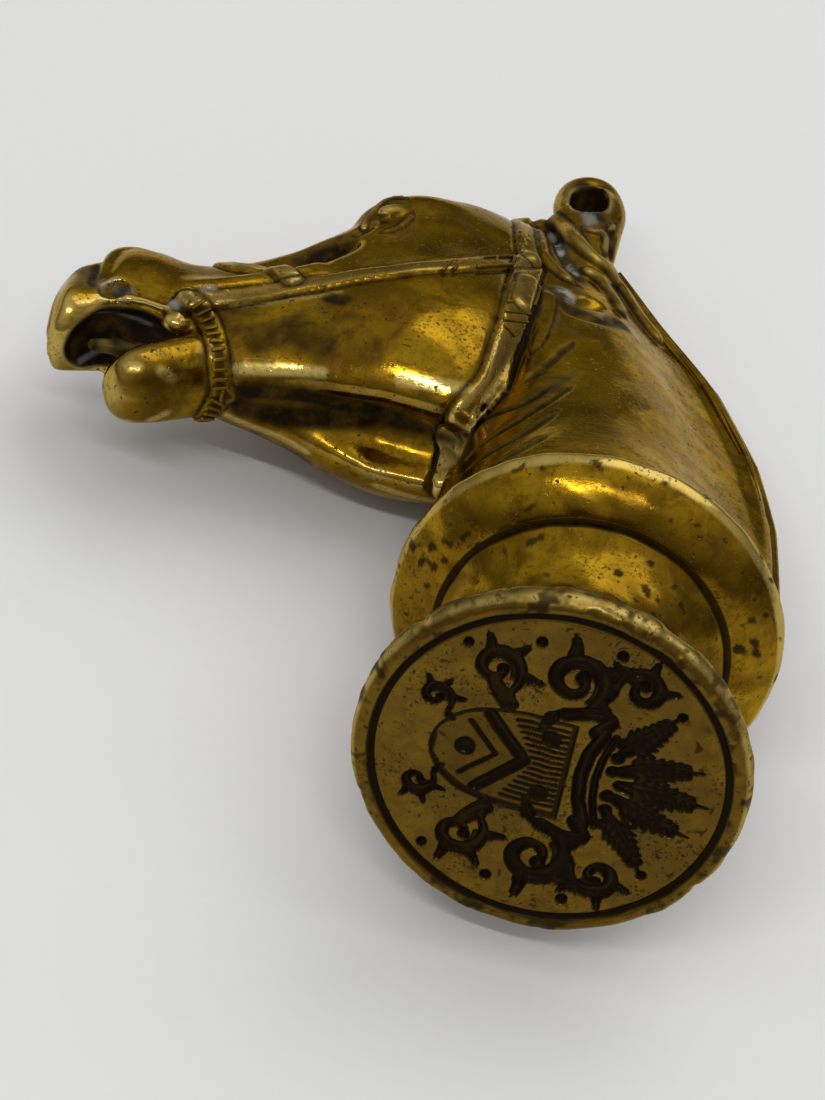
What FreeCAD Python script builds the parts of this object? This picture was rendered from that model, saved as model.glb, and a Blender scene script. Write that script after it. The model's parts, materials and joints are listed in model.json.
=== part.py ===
"""Desk seal: an engraved round die on a waisted stem and flared collar, its handle a cast horse's head.

The seal is modelled upright on its own axis, in millimetres: x towards the horse's nose, y towards the
horse's left, z from the engraved face up to the poll. At the end it is laid down on its right side, as it
rests on a table, with its lowest point at height zero.
"""
import FreeCAD, Part
import math
import os

os.makedirs("parts", exist_ok=True)

Vector = FreeCAD.Vector

# Driving dimensions of the turned foot
die_diameter = 24.2
rim_band_height = 2.2
rim_band_roundness = 0.6
rim_face_width = 1.1
ring_groove_width = 0.5
ring_groove_depth = 0.35
field_recess = 0.15
die_back_rise = 1.0
die_boss_diameter = 8.0
die_boss_height = 3.4
stem_height = 10.2
stem_foot_diameter = 19.0
stem_waist_diameter = 14.4
stem_head_diameter = 18.2
collar_diameter = 24.2
collar_rim_thickness = 1.0
collar_flare = 2.3
collar_crown = 0.7

# Driving dimensions of the shield cut in the die
shield_width = 7.0
shield_length = 8.4
shield_depth = 0.3
shield_offset = 2.6

# Driving dimensions of the hidden stud and its fits
stud_diameter = 4.0
stud_length = 19.6
thread_pitch = 0.7
thread_depth = 0.3
stud_clearance = 0.05
boss_clearance = 0.05
stud_end_gap = 0.3

# Driving dimensions of the cast handle
nose_reach = 38.0
poll_rise = 40.0
cheek_half_width = 6.5
neck_half_width = 9.4
neck_depth = 21.6
chin_half_width = 3.0

# Driving dimensions of the relief on the handle
strap_width = 1.3
strap_rise = 0.4
strap_root = 0.9
curb_width = 1.5
mane_ridge_diameter = 2.4
mane_ridge_inset = 1.0
ear_length = 10.0
ear_width = 4.7
ear_thickness = 3.0
ear_spread = 3.1
eye_length = 2.7
brow_length = 4.6
nostril_length = 2.4
wing_height = 3.2
mouth_length = 7.8
bit_ring_diameter = 2.6

# How the seal lies on the table
lying_tilt = 9.8

# Levels up the axis, worked out from the driving dimensions
cut_overrun = die_diameter
stem_seat = rim_band_height + die_back_rise
collar_seat = stem_seat + stem_height
handle_seat = collar_seat + collar_flare + collar_rim_thickness + collar_crown
stud_foot = stem_seat - field_recess
stud_bore_top = stud_foot + stud_length + stud_end_gap


def disc(diameter, height, level):
    """A plain cylinder on the seal's axis."""
    return Part.makeCylinder(diameter / 2, height, Vector(0, 0, level))


def turned(points):
    """A solid turned about the seal's axis from a closed outline of (radius, level) pairs and arcs."""
    edges = []
    for kind, stops in points:
        corners = [Vector(radius, 0, level) for radius, level in stops]
        if kind == "arc":
            edges.append(Part.Arc(*corners).toShape())
        else:
            edges.append(Part.LineSegment(*corners).toShape())
    outline = Part.Face(Part.Wire(edges))
    return outline.revolve(Vector(0, 0, 0), Vector(0, 0, 1), 360)


def side_point(reach_share, rise_share):
    """A point in the handle's side view: shares of the nose's reach and of the poll's rise."""
    return Vector(reach_share * nose_reach, 0, handle_seat + rise_share * poll_rise)


def smooth_ring(points):
    """A closed smooth wire through a ring of points."""
    curve = Part.BSplineCurve()
    curve.interpolate(Points=points, PeriodicFlag=True)
    return Part.Wire([curve.toShape()])


def station_wire(back, front, depth_shares, half_widths):
    """A closed smooth section between two side-view points, with half widths at shares of its depth."""
    left = [back + (front - back) * share + Vector(0, width, 0)
            for share, width in zip(depth_shares, half_widths)]
    right = [Vector(point.x, -point.y, point.z) for point in reversed(left)]
    return smooth_ring([back] + left + [front] + right)


def oval_wire(centre, long_axis, short_axis):
    """A closed smooth oval from its centre and two half axes."""
    turns = [2 * math.pi * step / oval_corners for step in range(oval_corners)]
    return smooth_ring([centre + long_axis * math.cos(turn) + short_axis * math.sin(turn) for turn in turns])


# Counts of corners and rays
oval_corners = 8
loop_rays = 7

# Side-view stations of the head, from the poll to the lip: top point, bottom point, and half widths
head_depth_shares = (0.10, 0.42, 0.86)
head_station_shares = (
    ((0.105, 0.975), (0.220, 0.400), (0.40, 0.70, 0.55)),
    ((0.250, 1.010), (0.275, 0.330), (0.52, 0.90, 0.88)),
    ((0.370, 1.000), (0.390, 0.324), (0.70, 1.00, 0.98)),
    ((0.475, 0.940), (0.485, 0.334), (0.76, 0.95, 0.88)),
    ((0.575, 0.825), (0.580, 0.346), (0.55, 0.82, 0.66)),
    ((0.685, 0.705), (0.680, 0.350), (0.42, 0.68, 0.50)),
    ((0.790, 0.640), (0.770, 0.395), (0.36, 0.60, 0.56)),
    ((0.870, 0.640), (0.855, 0.430), (0.38, 0.59, 0.54)),
    ((0.920, 0.630), (0.905, 0.425), (0.36, 0.56, 0.50)),
    ((0.955, 0.608), (0.940, 0.392), (0.26, 0.40, 0.43)),
    ((0.988, 0.585), (0.984, 0.378), (0.20, 0.36, 0.40)),
    ((1.007, 0.540), (1.006, 0.420), (0.09, 0.18, 0.20)),
)

# Side-view stations of the neck, from the collar to the poll: crest point, throat point, half widths
neck_depth_shares = (0.12, 0.55, 0.86)
neck_station_shares = (
    ((-0.284, 0.000), (0.284, 0.000), (0.60, 1.00, 0.66)),
    ((-0.282, 0.160), (0.288, 0.110), (0.34, 0.88, 0.64)),
    ((-0.255, 0.340), (0.282, 0.230), (0.22, 0.76, 0.58)),
    ((-0.205, 0.505), (0.272, 0.350), (0.18, 0.68, 0.54)),
    ((-0.115, 0.690), (0.275, 0.490), (0.17, 0.62, 0.54)),
    ((0.000, 0.845), (0.290, 0.660), (0.18, 0.54, 0.50)),
    ((0.090, 0.975), (0.320, 0.810), (0.20, 0.44, 0.44)),
)

# Side-view stations of the lower jaw's free front, from its root to the chin
chin_depth_shares = (0.15, 0.50, 0.85)
chin_station_shares = (
    ((0.640, 0.455), (0.620, 0.380), (0.55, 0.75, 0.55)),
    ((0.757, 0.430), (0.703, 0.352), (0.74, 0.96, 0.74)),
    ((0.825, 0.378), (0.773, 0.304), (0.70, 0.94, 0.72)),
    ((0.862, 0.345), (0.816, 0.278), (0.62, 0.86, 0.64)),
    ((0.880, 0.322), (0.846, 0.271), (0.44, 0.62, 0.46)),
    ((0.884, 0.303), (0.866, 0.280), (0.18, 0.26, 0.18)),
)


def lofted(station_shares, depth_shares, half_width):
    """A smooth solid through a row of side-view stations."""
    wires = []
    for back_shares, front_shares, width_shares in station_shares:
        half_widths = [share * half_width for share in width_shares]
        wires.append(station_wire(side_point(*back_shares), side_point(*front_shares),
                                  depth_shares, half_widths))
    return Part.makeLoft(wires, True, False)


def head_form():
    """The skull and jaw as one smooth form."""
    return lofted(head_station_shares, head_depth_shares, cheek_half_width)


def neck_form():
    """The neck from the collar to the poll."""
    return lofted(neck_station_shares, neck_depth_shares, neck_half_width)


def chin_form():
    """The free front of the lower jaw."""
    return lofted(chin_station_shares, chin_depth_shares, chin_half_width)


def scaled(size, shares):
    """A row of lengths as shares of one size."""
    return [size * share for share in shares]


def egg(centre, half_lengths, pitch):
    """An ellipsoid with three half lengths, pitched about the sideways axis."""
    ball = Part.makeSphere(1)
    stretch = FreeCAD.Matrix()
    stretch.scale(*half_lengths)
    shape = ball.transformGeometry(stretch)
    shape.Placement = FreeCAD.Placement(centre, FreeCAD.Rotation(Vector(0, 1, 0), pitch))
    return shape


def both_sides(shape):
    """A shape and its mirror image across the horse's middle plane."""
    return [shape, shape.mirror(Vector(0, 0, 0), Vector(0, 1, 0))]


def skin_hit(form, origin, direction):
    """The point where a ray from inside a form leaves it for the last time."""
    reach = 3 * cheek_half_width + poll_rise
    ray = Part.makeLine(origin, origin + direction * reach)
    inside = form.common(ray)
    stops = [vertex.Point for vertex in inside.Vertexes]
    return max(stops, key=lambda stop: (stop - origin).dot(direction))


def strap(form, rays, width):
    """A flat strap laid over a form: rectangular sections where a row of rays leaves its skin."""
    hits = [skin_hit(form, origin, direction) for origin, direction in rays]
    wires = []
    for index, hit in enumerate(hits):
        outward = rays[index][1]
        before = hits[max(index - 1, 0)]
        after = hits[min(index + 1, len(hits) - 1)]
        across = (after - before).cross(outward).normalize() * (width / 2)
        outer = hit + outward * strap_rise
        inner = hit - outward * strap_root
        corners = [outer + across, outer - across, inner - across, inner + across]
        wires.append(Part.makePolygon(corners + [corners[0]]))
    return Part.makeLoft(wires, True, True)


def side_rays(centre_shares):
    """Rays from the middle plane to the horse's left, one for each side-view point."""
    return [(side_point(*shares), Vector(0, 1, 0)) for shares in centre_shares]


def fan_rays(top_shares, bottom_shares, first_turn, last_turn):
    """Rays that fan from a hinge point in the head's middle, in the plane of one side-view line."""
    top = side_point(*top_shares)
    bottom = side_point(*bottom_shares)
    up = (top - bottom).normalize()
    middle = (top + bottom) / 2
    rays = []
    for step in range(loop_rays):
        turn = math.radians(first_turn + (last_turn - first_turn) * step / (loop_rays - 1))
        rays.append((middle, up * math.cos(turn) + Vector(0, math.sin(turn), 0)))
    return rays


# Centre lines of the bridle's straps in side view, from nose to poll or from poll to throat
cheek_strap_shares = ((0.785, 0.430), (0.700, 0.480), (0.610, 0.525), (0.500, 0.590), (0.400, 0.640),
                      (0.320, 0.700), (0.250, 0.745))
throat_strap_shares = ((0.255, 0.740), (0.262, 0.650), (0.268, 0.550), (0.268, 0.450), (0.265, 0.370))
throat_turn_shares = ((0.205, 0.410), (0.300, 0.260))
crown_strap_shares = ((0.250, 0.740), (0.220, 0.810), (0.180, 0.880), (0.140, 0.930))
brow_strap_shares = ((0.255, 0.745), (0.265, 0.850), (0.280, 0.930))
mane_lock_shares = ((0.215, 0.940), (0.165, 0.870), (0.115, 0.790), (0.060, 0.720))

# Side-view lines, top point then bottom point, that the two straps round the jaws lie along
noseband_line_shares = ((0.755, 0.660), (0.497, 0.420))
curb_line_shares = ((0.765, 0.500), (0.685, 0.330))

# Turns about such a line, from its top, between which a strap runs on the horse's left
noseband_turns = (0, 90)
curb_turns = (60, 180)
throat_turns = (90, 180)


def mane_ridge():
    """The roached mane: a rounded ridge down the crest, from the poll to the collar."""
    wires = []
    for back_shares, front_shares, _ in neck_station_shares:
        back = side_point(*back_shares)
        along = (side_point(*front_shares) - back).normalize()
        upright = along.cross(Vector(0, 1, 0))
        circle = Part.Circle(back + along * mane_ridge_inset, upright, mane_ridge_diameter / 2)
        wires.append(Part.Wire([circle.toShape()]))
    return Part.makeLoft(wires, True, False)


# An ear's rings from its root to its tip: rise and width along the ear, as shares of its own sizes
ear_ring_shares = ((0.00, 0.98, 1.00), (0.35, 0.90, 0.95), (0.60, 0.97, 1.00), (0.82, 1.00, 0.92),
                   (1.00, 0.55, 0.52))
ear_root_shares = (0.155, 0.900)
ear_lean_share = 0.08
ear_hollow_rise_share = 0.63
ear_hollow_shares = (0.24, 0.38, 0.42)


def left_ear():
    """The left ear: a rounded shell, hollowed on its outer side."""
    root = side_point(*ear_root_shares)
    wires = []
    for rise_share, width_share, thick_share in ear_ring_shares:
        centre = root + Vector(ear_lean_share * rise_share * ear_length, ear_spread, rise_share * ear_length)
        long_half = width_share * ear_width / 2
        short_half = thick_share * ear_thickness / 2
        wires.append(oval_wire(centre, Vector(long_half, 0, 0), Vector(0, short_half, 0)))
    shell = Part.makeLoft(wires, True, False)
    lean, rise = scaled(ear_length, (ear_lean_share, ear_hollow_rise_share))
    hollow_centre = root + Vector(lean, ear_spread + ear_thickness / 2, rise)
    hollow = egg(hollow_centre, scaled(ear_width, ear_hollow_shares), 0)
    return shell.cut(hollow)


def left_point(reach_share, rise_share, side_share):
    """A point on the horse's left, its distance from the middle plane a share of the cheek's half width."""
    return side_point(reach_share, rise_share) + Vector(0, side_share * cheek_half_width, 0)


# Small rounded forms: place in side view and out from the middle, half lengths as shares of a size, pitch
mouth_shares = ((0.863, 0.405, 0.00), (0.50, 0.33, 0.37), 2)
eye_shares = ((0.508, 0.800, 0.78), (0.50, 0.42, 0.40), 30)
brow_shares = ((0.470, 0.868, 0.66), (0.50, 0.38, 0.36), 35)
bit_ring_shares = ((0.765, 0.392, 0.42), (0.46, 0.30, 0.34), 0)
wing_shares = ((0.912, 0.556, 0.38), (0.42, 0.30, 0.50), 0)
nostril_shares = ((0.912, 0.472, 0.50), (0.42, 0.36, 0.30), 20)


def small_form(size, place_shares, half_shares, pitch):
    """One of the small rounded forms of the head."""
    return egg(left_point(*place_shares), scaled(size, half_shares), pitch)


# The channel between the jaw bones, from the chin back to the throat: its middle in side view, its half width
jaw_channel_shares = ((0.690, 0.318, 0.06), (0.640, 0.322, 0.15), (0.550, 0.338, 0.26), (0.410, 0.348, 0.37),
                      (0.310, 0.335, 0.37), (0.255, 0.325, 0.22))


def jaw_channel():
    """The hollow that runs between the two bones of the lower jaw."""
    wires = []
    for reach_share, rise_share, half_share in jaw_channel_shares:
        half = half_share * cheek_half_width
        wires.append(oval_wire(side_point(reach_share, rise_share), Vector(0, half, 0), Vector(0, 0, half)))
    return Part.makeLoft(wires, True, False)


def paired_features():
    """The left one of each small form that stands out of both sides of the head."""
    return [
        small_form(eye_length, *eye_shares),
        small_form(brow_length, *brow_shares),
        small_form(bit_ring_diameter, *bit_ring_shares),
        small_form(wing_height, *wing_shares),
        left_ear(),
    ]


def left_straps(body, head, chin):
    """The left half of every strap of the bridle, and the lock of mane that crosses the crown strap."""
    straps = [strap(body, side_rays(shares), strap_width)
              for shares in (cheek_strap_shares, throat_strap_shares, crown_strap_shares,
                             brow_strap_shares, mane_lock_shares)]
    straps.append(strap(body, fan_rays(*throat_turn_shares, *throat_turns), strap_width))
    straps.append(strap(head, fan_rays(*noseband_line_shares, *noseband_turns), strap_width))
    straps.append(strap(head.fuse(chin), fan_rays(*curb_line_shares, *curb_turns), curb_width))
    return straps


def make_handle():
    """The cast handle: neck, head, ears, mane and bridle in one piece."""
    head = head_form()
    neck = neck_form()
    chin = chin_form()
    body = head.fuse(neck)
    relief = [chin, mane_ridge()]
    for feature in paired_features() + left_straps(body, head, chin):
        relief += both_sides(feature)
    casting = body.cut(small_form(mouth_length, *mouth_shares)).multiFuse(relief)
    nostril = small_form(nostril_length, *nostril_shares)
    bore_top = stud_bore_top - handle_seat
    stud_bore = disc(stud_diameter + 2 * stud_clearance, cut_overrun + bore_top, handle_seat - cut_overrun)
    below_seat = disc(2 * cut_overrun, cut_overrun, handle_seat - cut_overrun)
    for cutter in both_sides(nostril) + [jaw_channel(), stud_bore, below_seat]:
        casting = casting.cut(cutter)
    return casting


# Shares that shape the turned pieces and the shield
flare_dish_share = 0.32
rim_bulge_share = 0.20
waist_rise_share = 0.46
shield_top_share = 0.44
shield_shoulder_share = 0.06
shield_side_share = 0.68


def make_collar():
    """The flared collar: a thin rim, a hollow flare towards the die and a low crown under the neck."""
    bore = stud_diameter / 2 + stud_clearance
    rim = collar_diameter / 2
    seat = stem_head_diameter / 2
    rim_level = collar_seat + collar_flare
    crown = neck_depth / 2
    mid = (seat + rim) / 2
    outline = [
        ("line", ((bore, collar_seat), (seat, collar_seat))),
        ("arc", ((seat, collar_seat), (mid, collar_seat + collar_flare * flare_dish_share),
                 (rim, rim_level))),
        ("arc", ((rim, rim_level),
                 (rim + collar_rim_thickness * rim_bulge_share, rim_level + collar_rim_thickness / 2),
                 (rim, rim_level + collar_rim_thickness))),
        ("line", ((rim, rim_level + collar_rim_thickness), (crown, handle_seat))),
        ("line", ((crown, handle_seat), (bore, handle_seat))),
        ("line", ((bore, handle_seat), (bore, collar_seat))),
    ]
    return turned(outline)


def make_stem():
    """The waisted stem, bored for the stud and counterbored for the die's boss."""
    foot = stem_foot_diameter / 2
    waist = stem_waist_diameter / 2
    head = stem_head_diameter / 2
    outline = [
        ("line", ((0, stem_seat), (foot, stem_seat))),
        ("arc", ((foot, stem_seat), (waist, stem_seat + stem_height * waist_rise_share),
                 (head, collar_seat))),
        ("line", ((head, collar_seat), (0, collar_seat))),
        ("line", ((0, collar_seat), (0, stem_seat))),
    ]
    stem = turned(outline)
    bore = disc(stud_diameter + 2 * stud_clearance, stem_height + 2 * cut_overrun, stem_seat - cut_overrun)
    counterbore = disc(die_boss_diameter + 2 * boss_clearance,
                       die_boss_height + boss_clearance + cut_overrun, stem_seat - cut_overrun)
    return stem.cut(bore).cut(counterbore)


def shield_cutter():
    """The engraved shield, with its tip towards the horse's nose."""
    half = shield_width / 2
    top = shield_length * shield_top_share
    shoulder = shield_length * shield_shoulder_share
    tip = top - shield_length
    side = half * shield_side_share
    mid = (shoulder + tip) / 2
    edges = [
        Part.LineSegment(Vector(-half, top, 0), Vector(half, top, 0)).toShape(),
        Part.LineSegment(Vector(half, top, 0), Vector(half, shoulder, 0)).toShape(),
        Part.Arc(Vector(half, shoulder, 0), Vector(side, mid, 0), Vector(0, tip, 0)).toShape(),
        Part.Arc(Vector(0, tip, 0), Vector(-side, mid, 0), Vector(-half, shoulder, 0)).toShape(),
        Part.LineSegment(Vector(-half, shoulder, 0), Vector(-half, top, 0)).toShape(),
    ]
    shield = Part.Face(Part.Wire(edges)).extrude(Vector(0, 0, shield_depth + cut_overrun))
    shield.rotate(Vector(0, 0, 0), Vector(0, 0, 1), 90)
    shield.translate(Vector(shield_offset, 0, field_recess - cut_overrun))
    return shield


def make_die():
    """The die: rounded rim band, ring groove, sunk field with a shield, and a threaded boss behind."""
    rim = die_diameter / 2
    inner = rim - rim_face_width
    field = inner - ring_groove_width
    shoulder = stem_foot_diameter / 2
    soft = rim_band_roundness
    slack = soft * (1 - math.sqrt(0.5))
    bore = stud_diameter / 2 + stud_clearance
    boss = die_boss_diameter / 2
    boss_top = stem_seat + die_boss_height
    outline = [
        ("line", ((0, field_recess), (field, field_recess))),
        ("line", ((field, field_recess), (field, ring_groove_depth))),
        ("line", ((field, ring_groove_depth), (inner, ring_groove_depth))),
        ("line", ((inner, ring_groove_depth), (inner, 0))),
        ("line", ((inner, 0), (rim - soft, 0))),
        ("arc", ((rim - soft, 0), (rim - slack, slack), (rim, soft))),
        ("line", ((rim, soft), (rim, rim_band_height - soft))),
        ("arc", ((rim, rim_band_height - soft), (rim - slack, rim_band_height - slack),
                 (rim - soft, rim_band_height))),
        ("line", ((rim - soft, rim_band_height), (shoulder, stem_seat))),
        ("line", ((shoulder, stem_seat), (boss, stem_seat))),
        ("line", ((boss, stem_seat), (boss, boss_top))),
        ("line", ((boss, boss_top), (bore, boss_top))),
        ("line", ((bore, boss_top), (bore, stud_foot))),
        ("line", ((bore, stud_foot), (0, stud_foot))),
        ("line", ((0, stud_foot), (0, field_recess))),
    ]
    return turned(outline).cut(shield_cutter())


def make_stud():
    """The threaded stud that draws the foot and the handle together."""
    crest = stud_diameter / 2
    root = crest - thread_depth
    turns = int((stud_length - thread_pitch) // thread_pitch)
    corners = [(0, stud_foot), (root, stud_foot)]
    for turn in range(turns):
        level = stud_foot + turn * thread_pitch
        corners.append((crest, level + thread_pitch / 2))
        corners.append((root, level + thread_pitch))
    corners += [(root, stud_foot + stud_length), (0, stud_foot + stud_length), (0, stud_foot)]
    return turned([("line", pair) for pair in zip(corners, corners[1:])])


def laid_down(pieces):
    """Turn the upright pieces on to their right side and set the lowest point on the table."""
    lie = FreeCAD.Rotation(Vector(0, 0, 1), 180).multiply(FreeCAD.Rotation(Vector(1, 0, 0), 90))
    turn = FreeCAD.Rotation(Vector(1, 0, 0), -lying_tilt).multiply(lie)
    for piece in pieces.values():
        piece.Placement = FreeCAD.Placement(Vector(0, 0, 0), turn).multiply(piece.Placement)
    whole = Part.makeCompound(list(pieces.values())).optimalBoundingBox(False)
    shift = Vector(-whole.Center.x, -whole.Center.y, -whole.ZMin)
    for piece in pieces.values():
        piece.translate(shift)
    return pieces


def main():
    pieces = {
        "horse_head_handle": make_handle(),
        "collar_flange": make_collar(),
        "waisted_stem": make_stem(),
        "matrix_die": make_die(),
        "joining_stud": make_stud(),
    }
    for name, piece in laid_down(pieces).items():
        piece.exportStep("parts/" + name + ".step")
        print(name, "solids", len(piece.Solids), "valid", piece.isValid(), "volume", round(piece.Volume, 1))


main()
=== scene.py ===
"""Desk seal of worn brass: an engraved die on a turned foot, with a bridled horse's head as its handle.

The seal lies on its right side on a pale table. Shapes are worked out in the seal's own millimetres, with
x towards the horse's nose, y towards the horse's left and z from the engraved face up to the poll, and
are laid on the table, in metres, as the last step of each piece.
"""
import json
import math
from functools import lru_cache, reduce
from types import SimpleNamespace

import bpy
import numpy as np
from mathutils import Matrix


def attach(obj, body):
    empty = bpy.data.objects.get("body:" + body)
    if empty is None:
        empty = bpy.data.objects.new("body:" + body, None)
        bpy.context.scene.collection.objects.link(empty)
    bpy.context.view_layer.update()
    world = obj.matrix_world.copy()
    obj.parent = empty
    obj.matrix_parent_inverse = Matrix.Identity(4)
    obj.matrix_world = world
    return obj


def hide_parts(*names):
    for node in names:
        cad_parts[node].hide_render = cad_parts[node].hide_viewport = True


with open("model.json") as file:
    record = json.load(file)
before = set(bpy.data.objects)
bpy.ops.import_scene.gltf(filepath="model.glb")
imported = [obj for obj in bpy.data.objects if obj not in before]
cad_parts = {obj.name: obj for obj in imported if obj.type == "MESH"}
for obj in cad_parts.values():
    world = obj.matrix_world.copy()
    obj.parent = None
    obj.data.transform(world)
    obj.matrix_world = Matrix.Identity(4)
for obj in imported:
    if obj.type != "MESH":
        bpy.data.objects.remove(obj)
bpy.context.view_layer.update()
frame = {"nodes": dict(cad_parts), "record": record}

bl_info = {
    "name": "Horse's head desk seal",
    "version": (1, 0, 0),
    "blender": (4, 5, 0),
    "location": "3D View > Sidebar > Desk Seal",
    "description": "Builds a worn brass desk seal with a bridled horse's head on a turned foot",
    "category": "Add Mesh",
}

MM = 0.001
BODY = "root"

# Levels up the seal's axis and radii of the turned foot, in millimetres
field_recess = 0.15
rim_height = 2.2
stem_seat = 3.2
collar_seat = 13.4
rim_level = 15.7
handle_seat = 17.4
stud_bore_radius = 2.05

# The seal's own axes and origin in the row's frame, from the mount on its engraved face
face_mount = frame["record"]["mounts"][0]
axis_up = -np.array(face_mount["axis"], float)
axis_nose = np.array((-1.0, 0.0, 0.0))
axis_left = np.cross(axis_up, axis_nose)
seal_axes = np.stack((axis_nose, axis_left, axis_up))
seal_origin = np.array(face_mount["pos_m"], float) / MM - field_recess * axis_up

# The camera, from fitting the ellipses of the die, the collar's rim and the stem's joint in the photograph
picture_width = 825
picture_height = 1100
picture_focal = 6000.0
film_side = 36.0
die_in_camera = np.array((8.1, 13.1, 356.5))
axis_lean = math.radians(33.6)
axis_swing = math.radians(16.8)

# Where a line of sight is searched for the skin: from, to and in steps of so many millimetres
sight_near, sight_far, sight_step = 250.0, 420.0, 0.1


def camera_axes():
    """The seal's nose, left and up directions in the camera's own axes: right, down, forward."""
    up = np.array((math.sin(axis_lean) * math.sin(axis_swing),
                   -math.sin(axis_lean) * math.cos(axis_swing), math.cos(axis_lean)))
    sight = die_in_camera / np.linalg.norm(die_in_camera)
    across = np.cross(up, sight)
    across *= np.sign(across[0]) / np.linalg.norm(across)
    side = np.cross(up, across)
    side *= -np.sign(side @ sight)
    return np.stack((-across, side, up), axis=1)


def camera_place():
    """The camera's place in the seal's millimetres."""
    return -camera_axes().T @ die_in_camera


def sight_line(pixel):
    """The direction, in the seal's axes, in which the camera sees a pixel of the 825 by 1100 picture."""
    sight = np.array((pixel[0] - picture_width / 2, pixel[1] - picture_height / 2, picture_focal))
    return camera_axes().T @ (sight / np.linalg.norm(sight))


def laid(points):
    """Points in the seal's millimetres as points on the table, in metres."""
    return (np.asarray(points, float) @ seal_axes + seal_origin) * MM


def smooth_step(share):
    """A soft ramp from 0 to 1."""
    share = np.clip(share, 0.0, 1.0)
    return share * share * (3.0 - 2.0 * share)


def soft_min(first, second, blend):
    """The nearer of two distances, with a fillet of the given size between them."""
    near = np.maximum(blend - np.abs(first - second), 0.0)
    return np.minimum(first, second) - near * near / (4.0 * blend)


def ring_spline(points, count):
    """A closed smooth curve through a ring of points, with count samples on each span."""
    ring = np.asarray(points, float)
    ahead = np.roll(ring, -1, axis=0)
    span = np.linalg.norm(ahead - ring, axis=1)
    size = len(ring)
    system = np.zeros((size, size))
    pull = np.zeros_like(ring)
    for k in range(size):
        before, after = span[k - 1], span[k]
        system[k, k - 1] += before
        system[k, k] += 2 * (before + after)
        system[k, (k + 1) % size] += after
        pull[k] = 6 * ((ahead[k] - ring[k]) / after - (ring[k] - ring[k - 1]) / before)
    bend = np.linalg.solve(system, pull)
    share = np.linspace(0, 1, count, endpoint=False)[:, None]
    rows = []
    for k in range(size):
        far, here, there = 1 - share, bend[k], bend[(k + 1) % size]
        rows.append(far * ring[k] + share * ahead[k]
                    + span[k] ** 2 / 6 * ((far ** 3 - far) * here + (share ** 3 - share) * there))
    return np.concatenate(rows)


def smooth_rows(rows, count):
    """Rows of numbers with count smooth steps put in between each two."""
    rows = np.asarray(rows, float)
    padded = np.concatenate((2 * rows[:1] - rows[1:2], rows, 2 * rows[-1:] - rows[-2:-1]))
    out = []
    for k in range(len(rows) - 1):
        a, b, c, d = padded[k:k + 4]
        for share in np.linspace(0, 1, count, endpoint=False):
            out.append(0.5 * (2 * b + (c - a) * share + (2 * a - 5 * b + 4 * c - d) * share ** 2
                              + (3 * b - a - 3 * c + d) * share ** 3))
    out.append(rows[-1])
    return np.array(out)


# The handle's side view is given in shares of the nose's reach and of the poll's rise over the collar
nose_reach = 38.0
poll_rise = 40.0
cheek_half_width = 6.5
neck_half_width = 9.4
chin_half_width = 3.0

# Side-view stations of the head, from the poll to the lip: top point, bottom point, and half widths
head_depth_shares = (0.10, 0.42, 0.86)
head_station_shares = (
    ((0.105, 0.975), (0.220, 0.400), (0.40, 0.70, 0.55)),
    ((0.250, 1.010), (0.275, 0.330), (0.52, 0.90, 0.88)),
    ((0.370, 1.000), (0.390, 0.324), (0.70, 1.00, 0.98)),
    ((0.475, 0.940), (0.485, 0.334), (0.76, 0.95, 0.88)),
    ((0.575, 0.825), (0.580, 0.346), (0.55, 0.82, 0.66)),
    ((0.685, 0.705), (0.680, 0.350), (0.42, 0.68, 0.50)),
    ((0.790, 0.640), (0.770, 0.395), (0.36, 0.60, 0.56)),
    ((0.870, 0.640), (0.855, 0.430), (0.38, 0.59, 0.54)),
    ((0.920, 0.630), (0.905, 0.425), (0.36, 0.56, 0.50)),
    ((0.955, 0.608), (0.940, 0.392), (0.26, 0.40, 0.43)),
    ((0.988, 0.585), (0.984, 0.378), (0.20, 0.36, 0.40)),
    ((1.007, 0.540), (1.006, 0.420), (0.09, 0.18, 0.20)),
)

# Side-view stations of the neck, from the collar to the poll
neck_depth_shares = (0.12, 0.55, 0.86)
neck_station_shares = (
    ((-0.284, -0.060), (0.284, -0.060), (0.60, 1.00, 0.66)),
    ((-0.284, 0.000), (0.284, 0.000), (0.60, 1.00, 0.66)),
    ((-0.282, 0.160), (0.288, 0.110), (0.34, 0.88, 0.64)),
    ((-0.255, 0.340), (0.282, 0.230), (0.22, 0.76, 0.58)),
    ((-0.205, 0.505), (0.272, 0.350), (0.18, 0.68, 0.54)),
    ((-0.115, 0.690), (0.275, 0.490), (0.17, 0.62, 0.54)),
    ((0.000, 0.845), (0.290, 0.660), (0.18, 0.54, 0.50)),
    ((0.090, 0.975), (0.320, 0.810), (0.20, 0.44, 0.44)),
)

# Side-view stations of the lower jaw's free front, from its root to the chin
chin_depth_shares = (0.15, 0.50, 0.85)
chin_station_shares = (
    ((0.640, 0.455), (0.620, 0.380), (0.55, 0.75, 0.55)),
    ((0.757, 0.430), (0.703, 0.352), (0.74, 0.96, 0.74)),
    ((0.825, 0.378), (0.773, 0.304), (0.70, 0.94, 0.72)),
    ((0.862, 0.345), (0.816, 0.278), (0.62, 0.86, 0.64)),
    ((0.880, 0.322), (0.846, 0.271), (0.44, 0.62, 0.46)),
    ((0.884, 0.303), (0.866, 0.280), (0.18, 0.26, 0.18)),
)

station_steps = 8
polar_steps = 64


def side(reach_share, rise_share):
    """A point of the side view in millimetres: along the nose, and up the axis."""
    return np.array((reach_share * nose_reach, handle_seat + rise_share * poll_rise))


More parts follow.
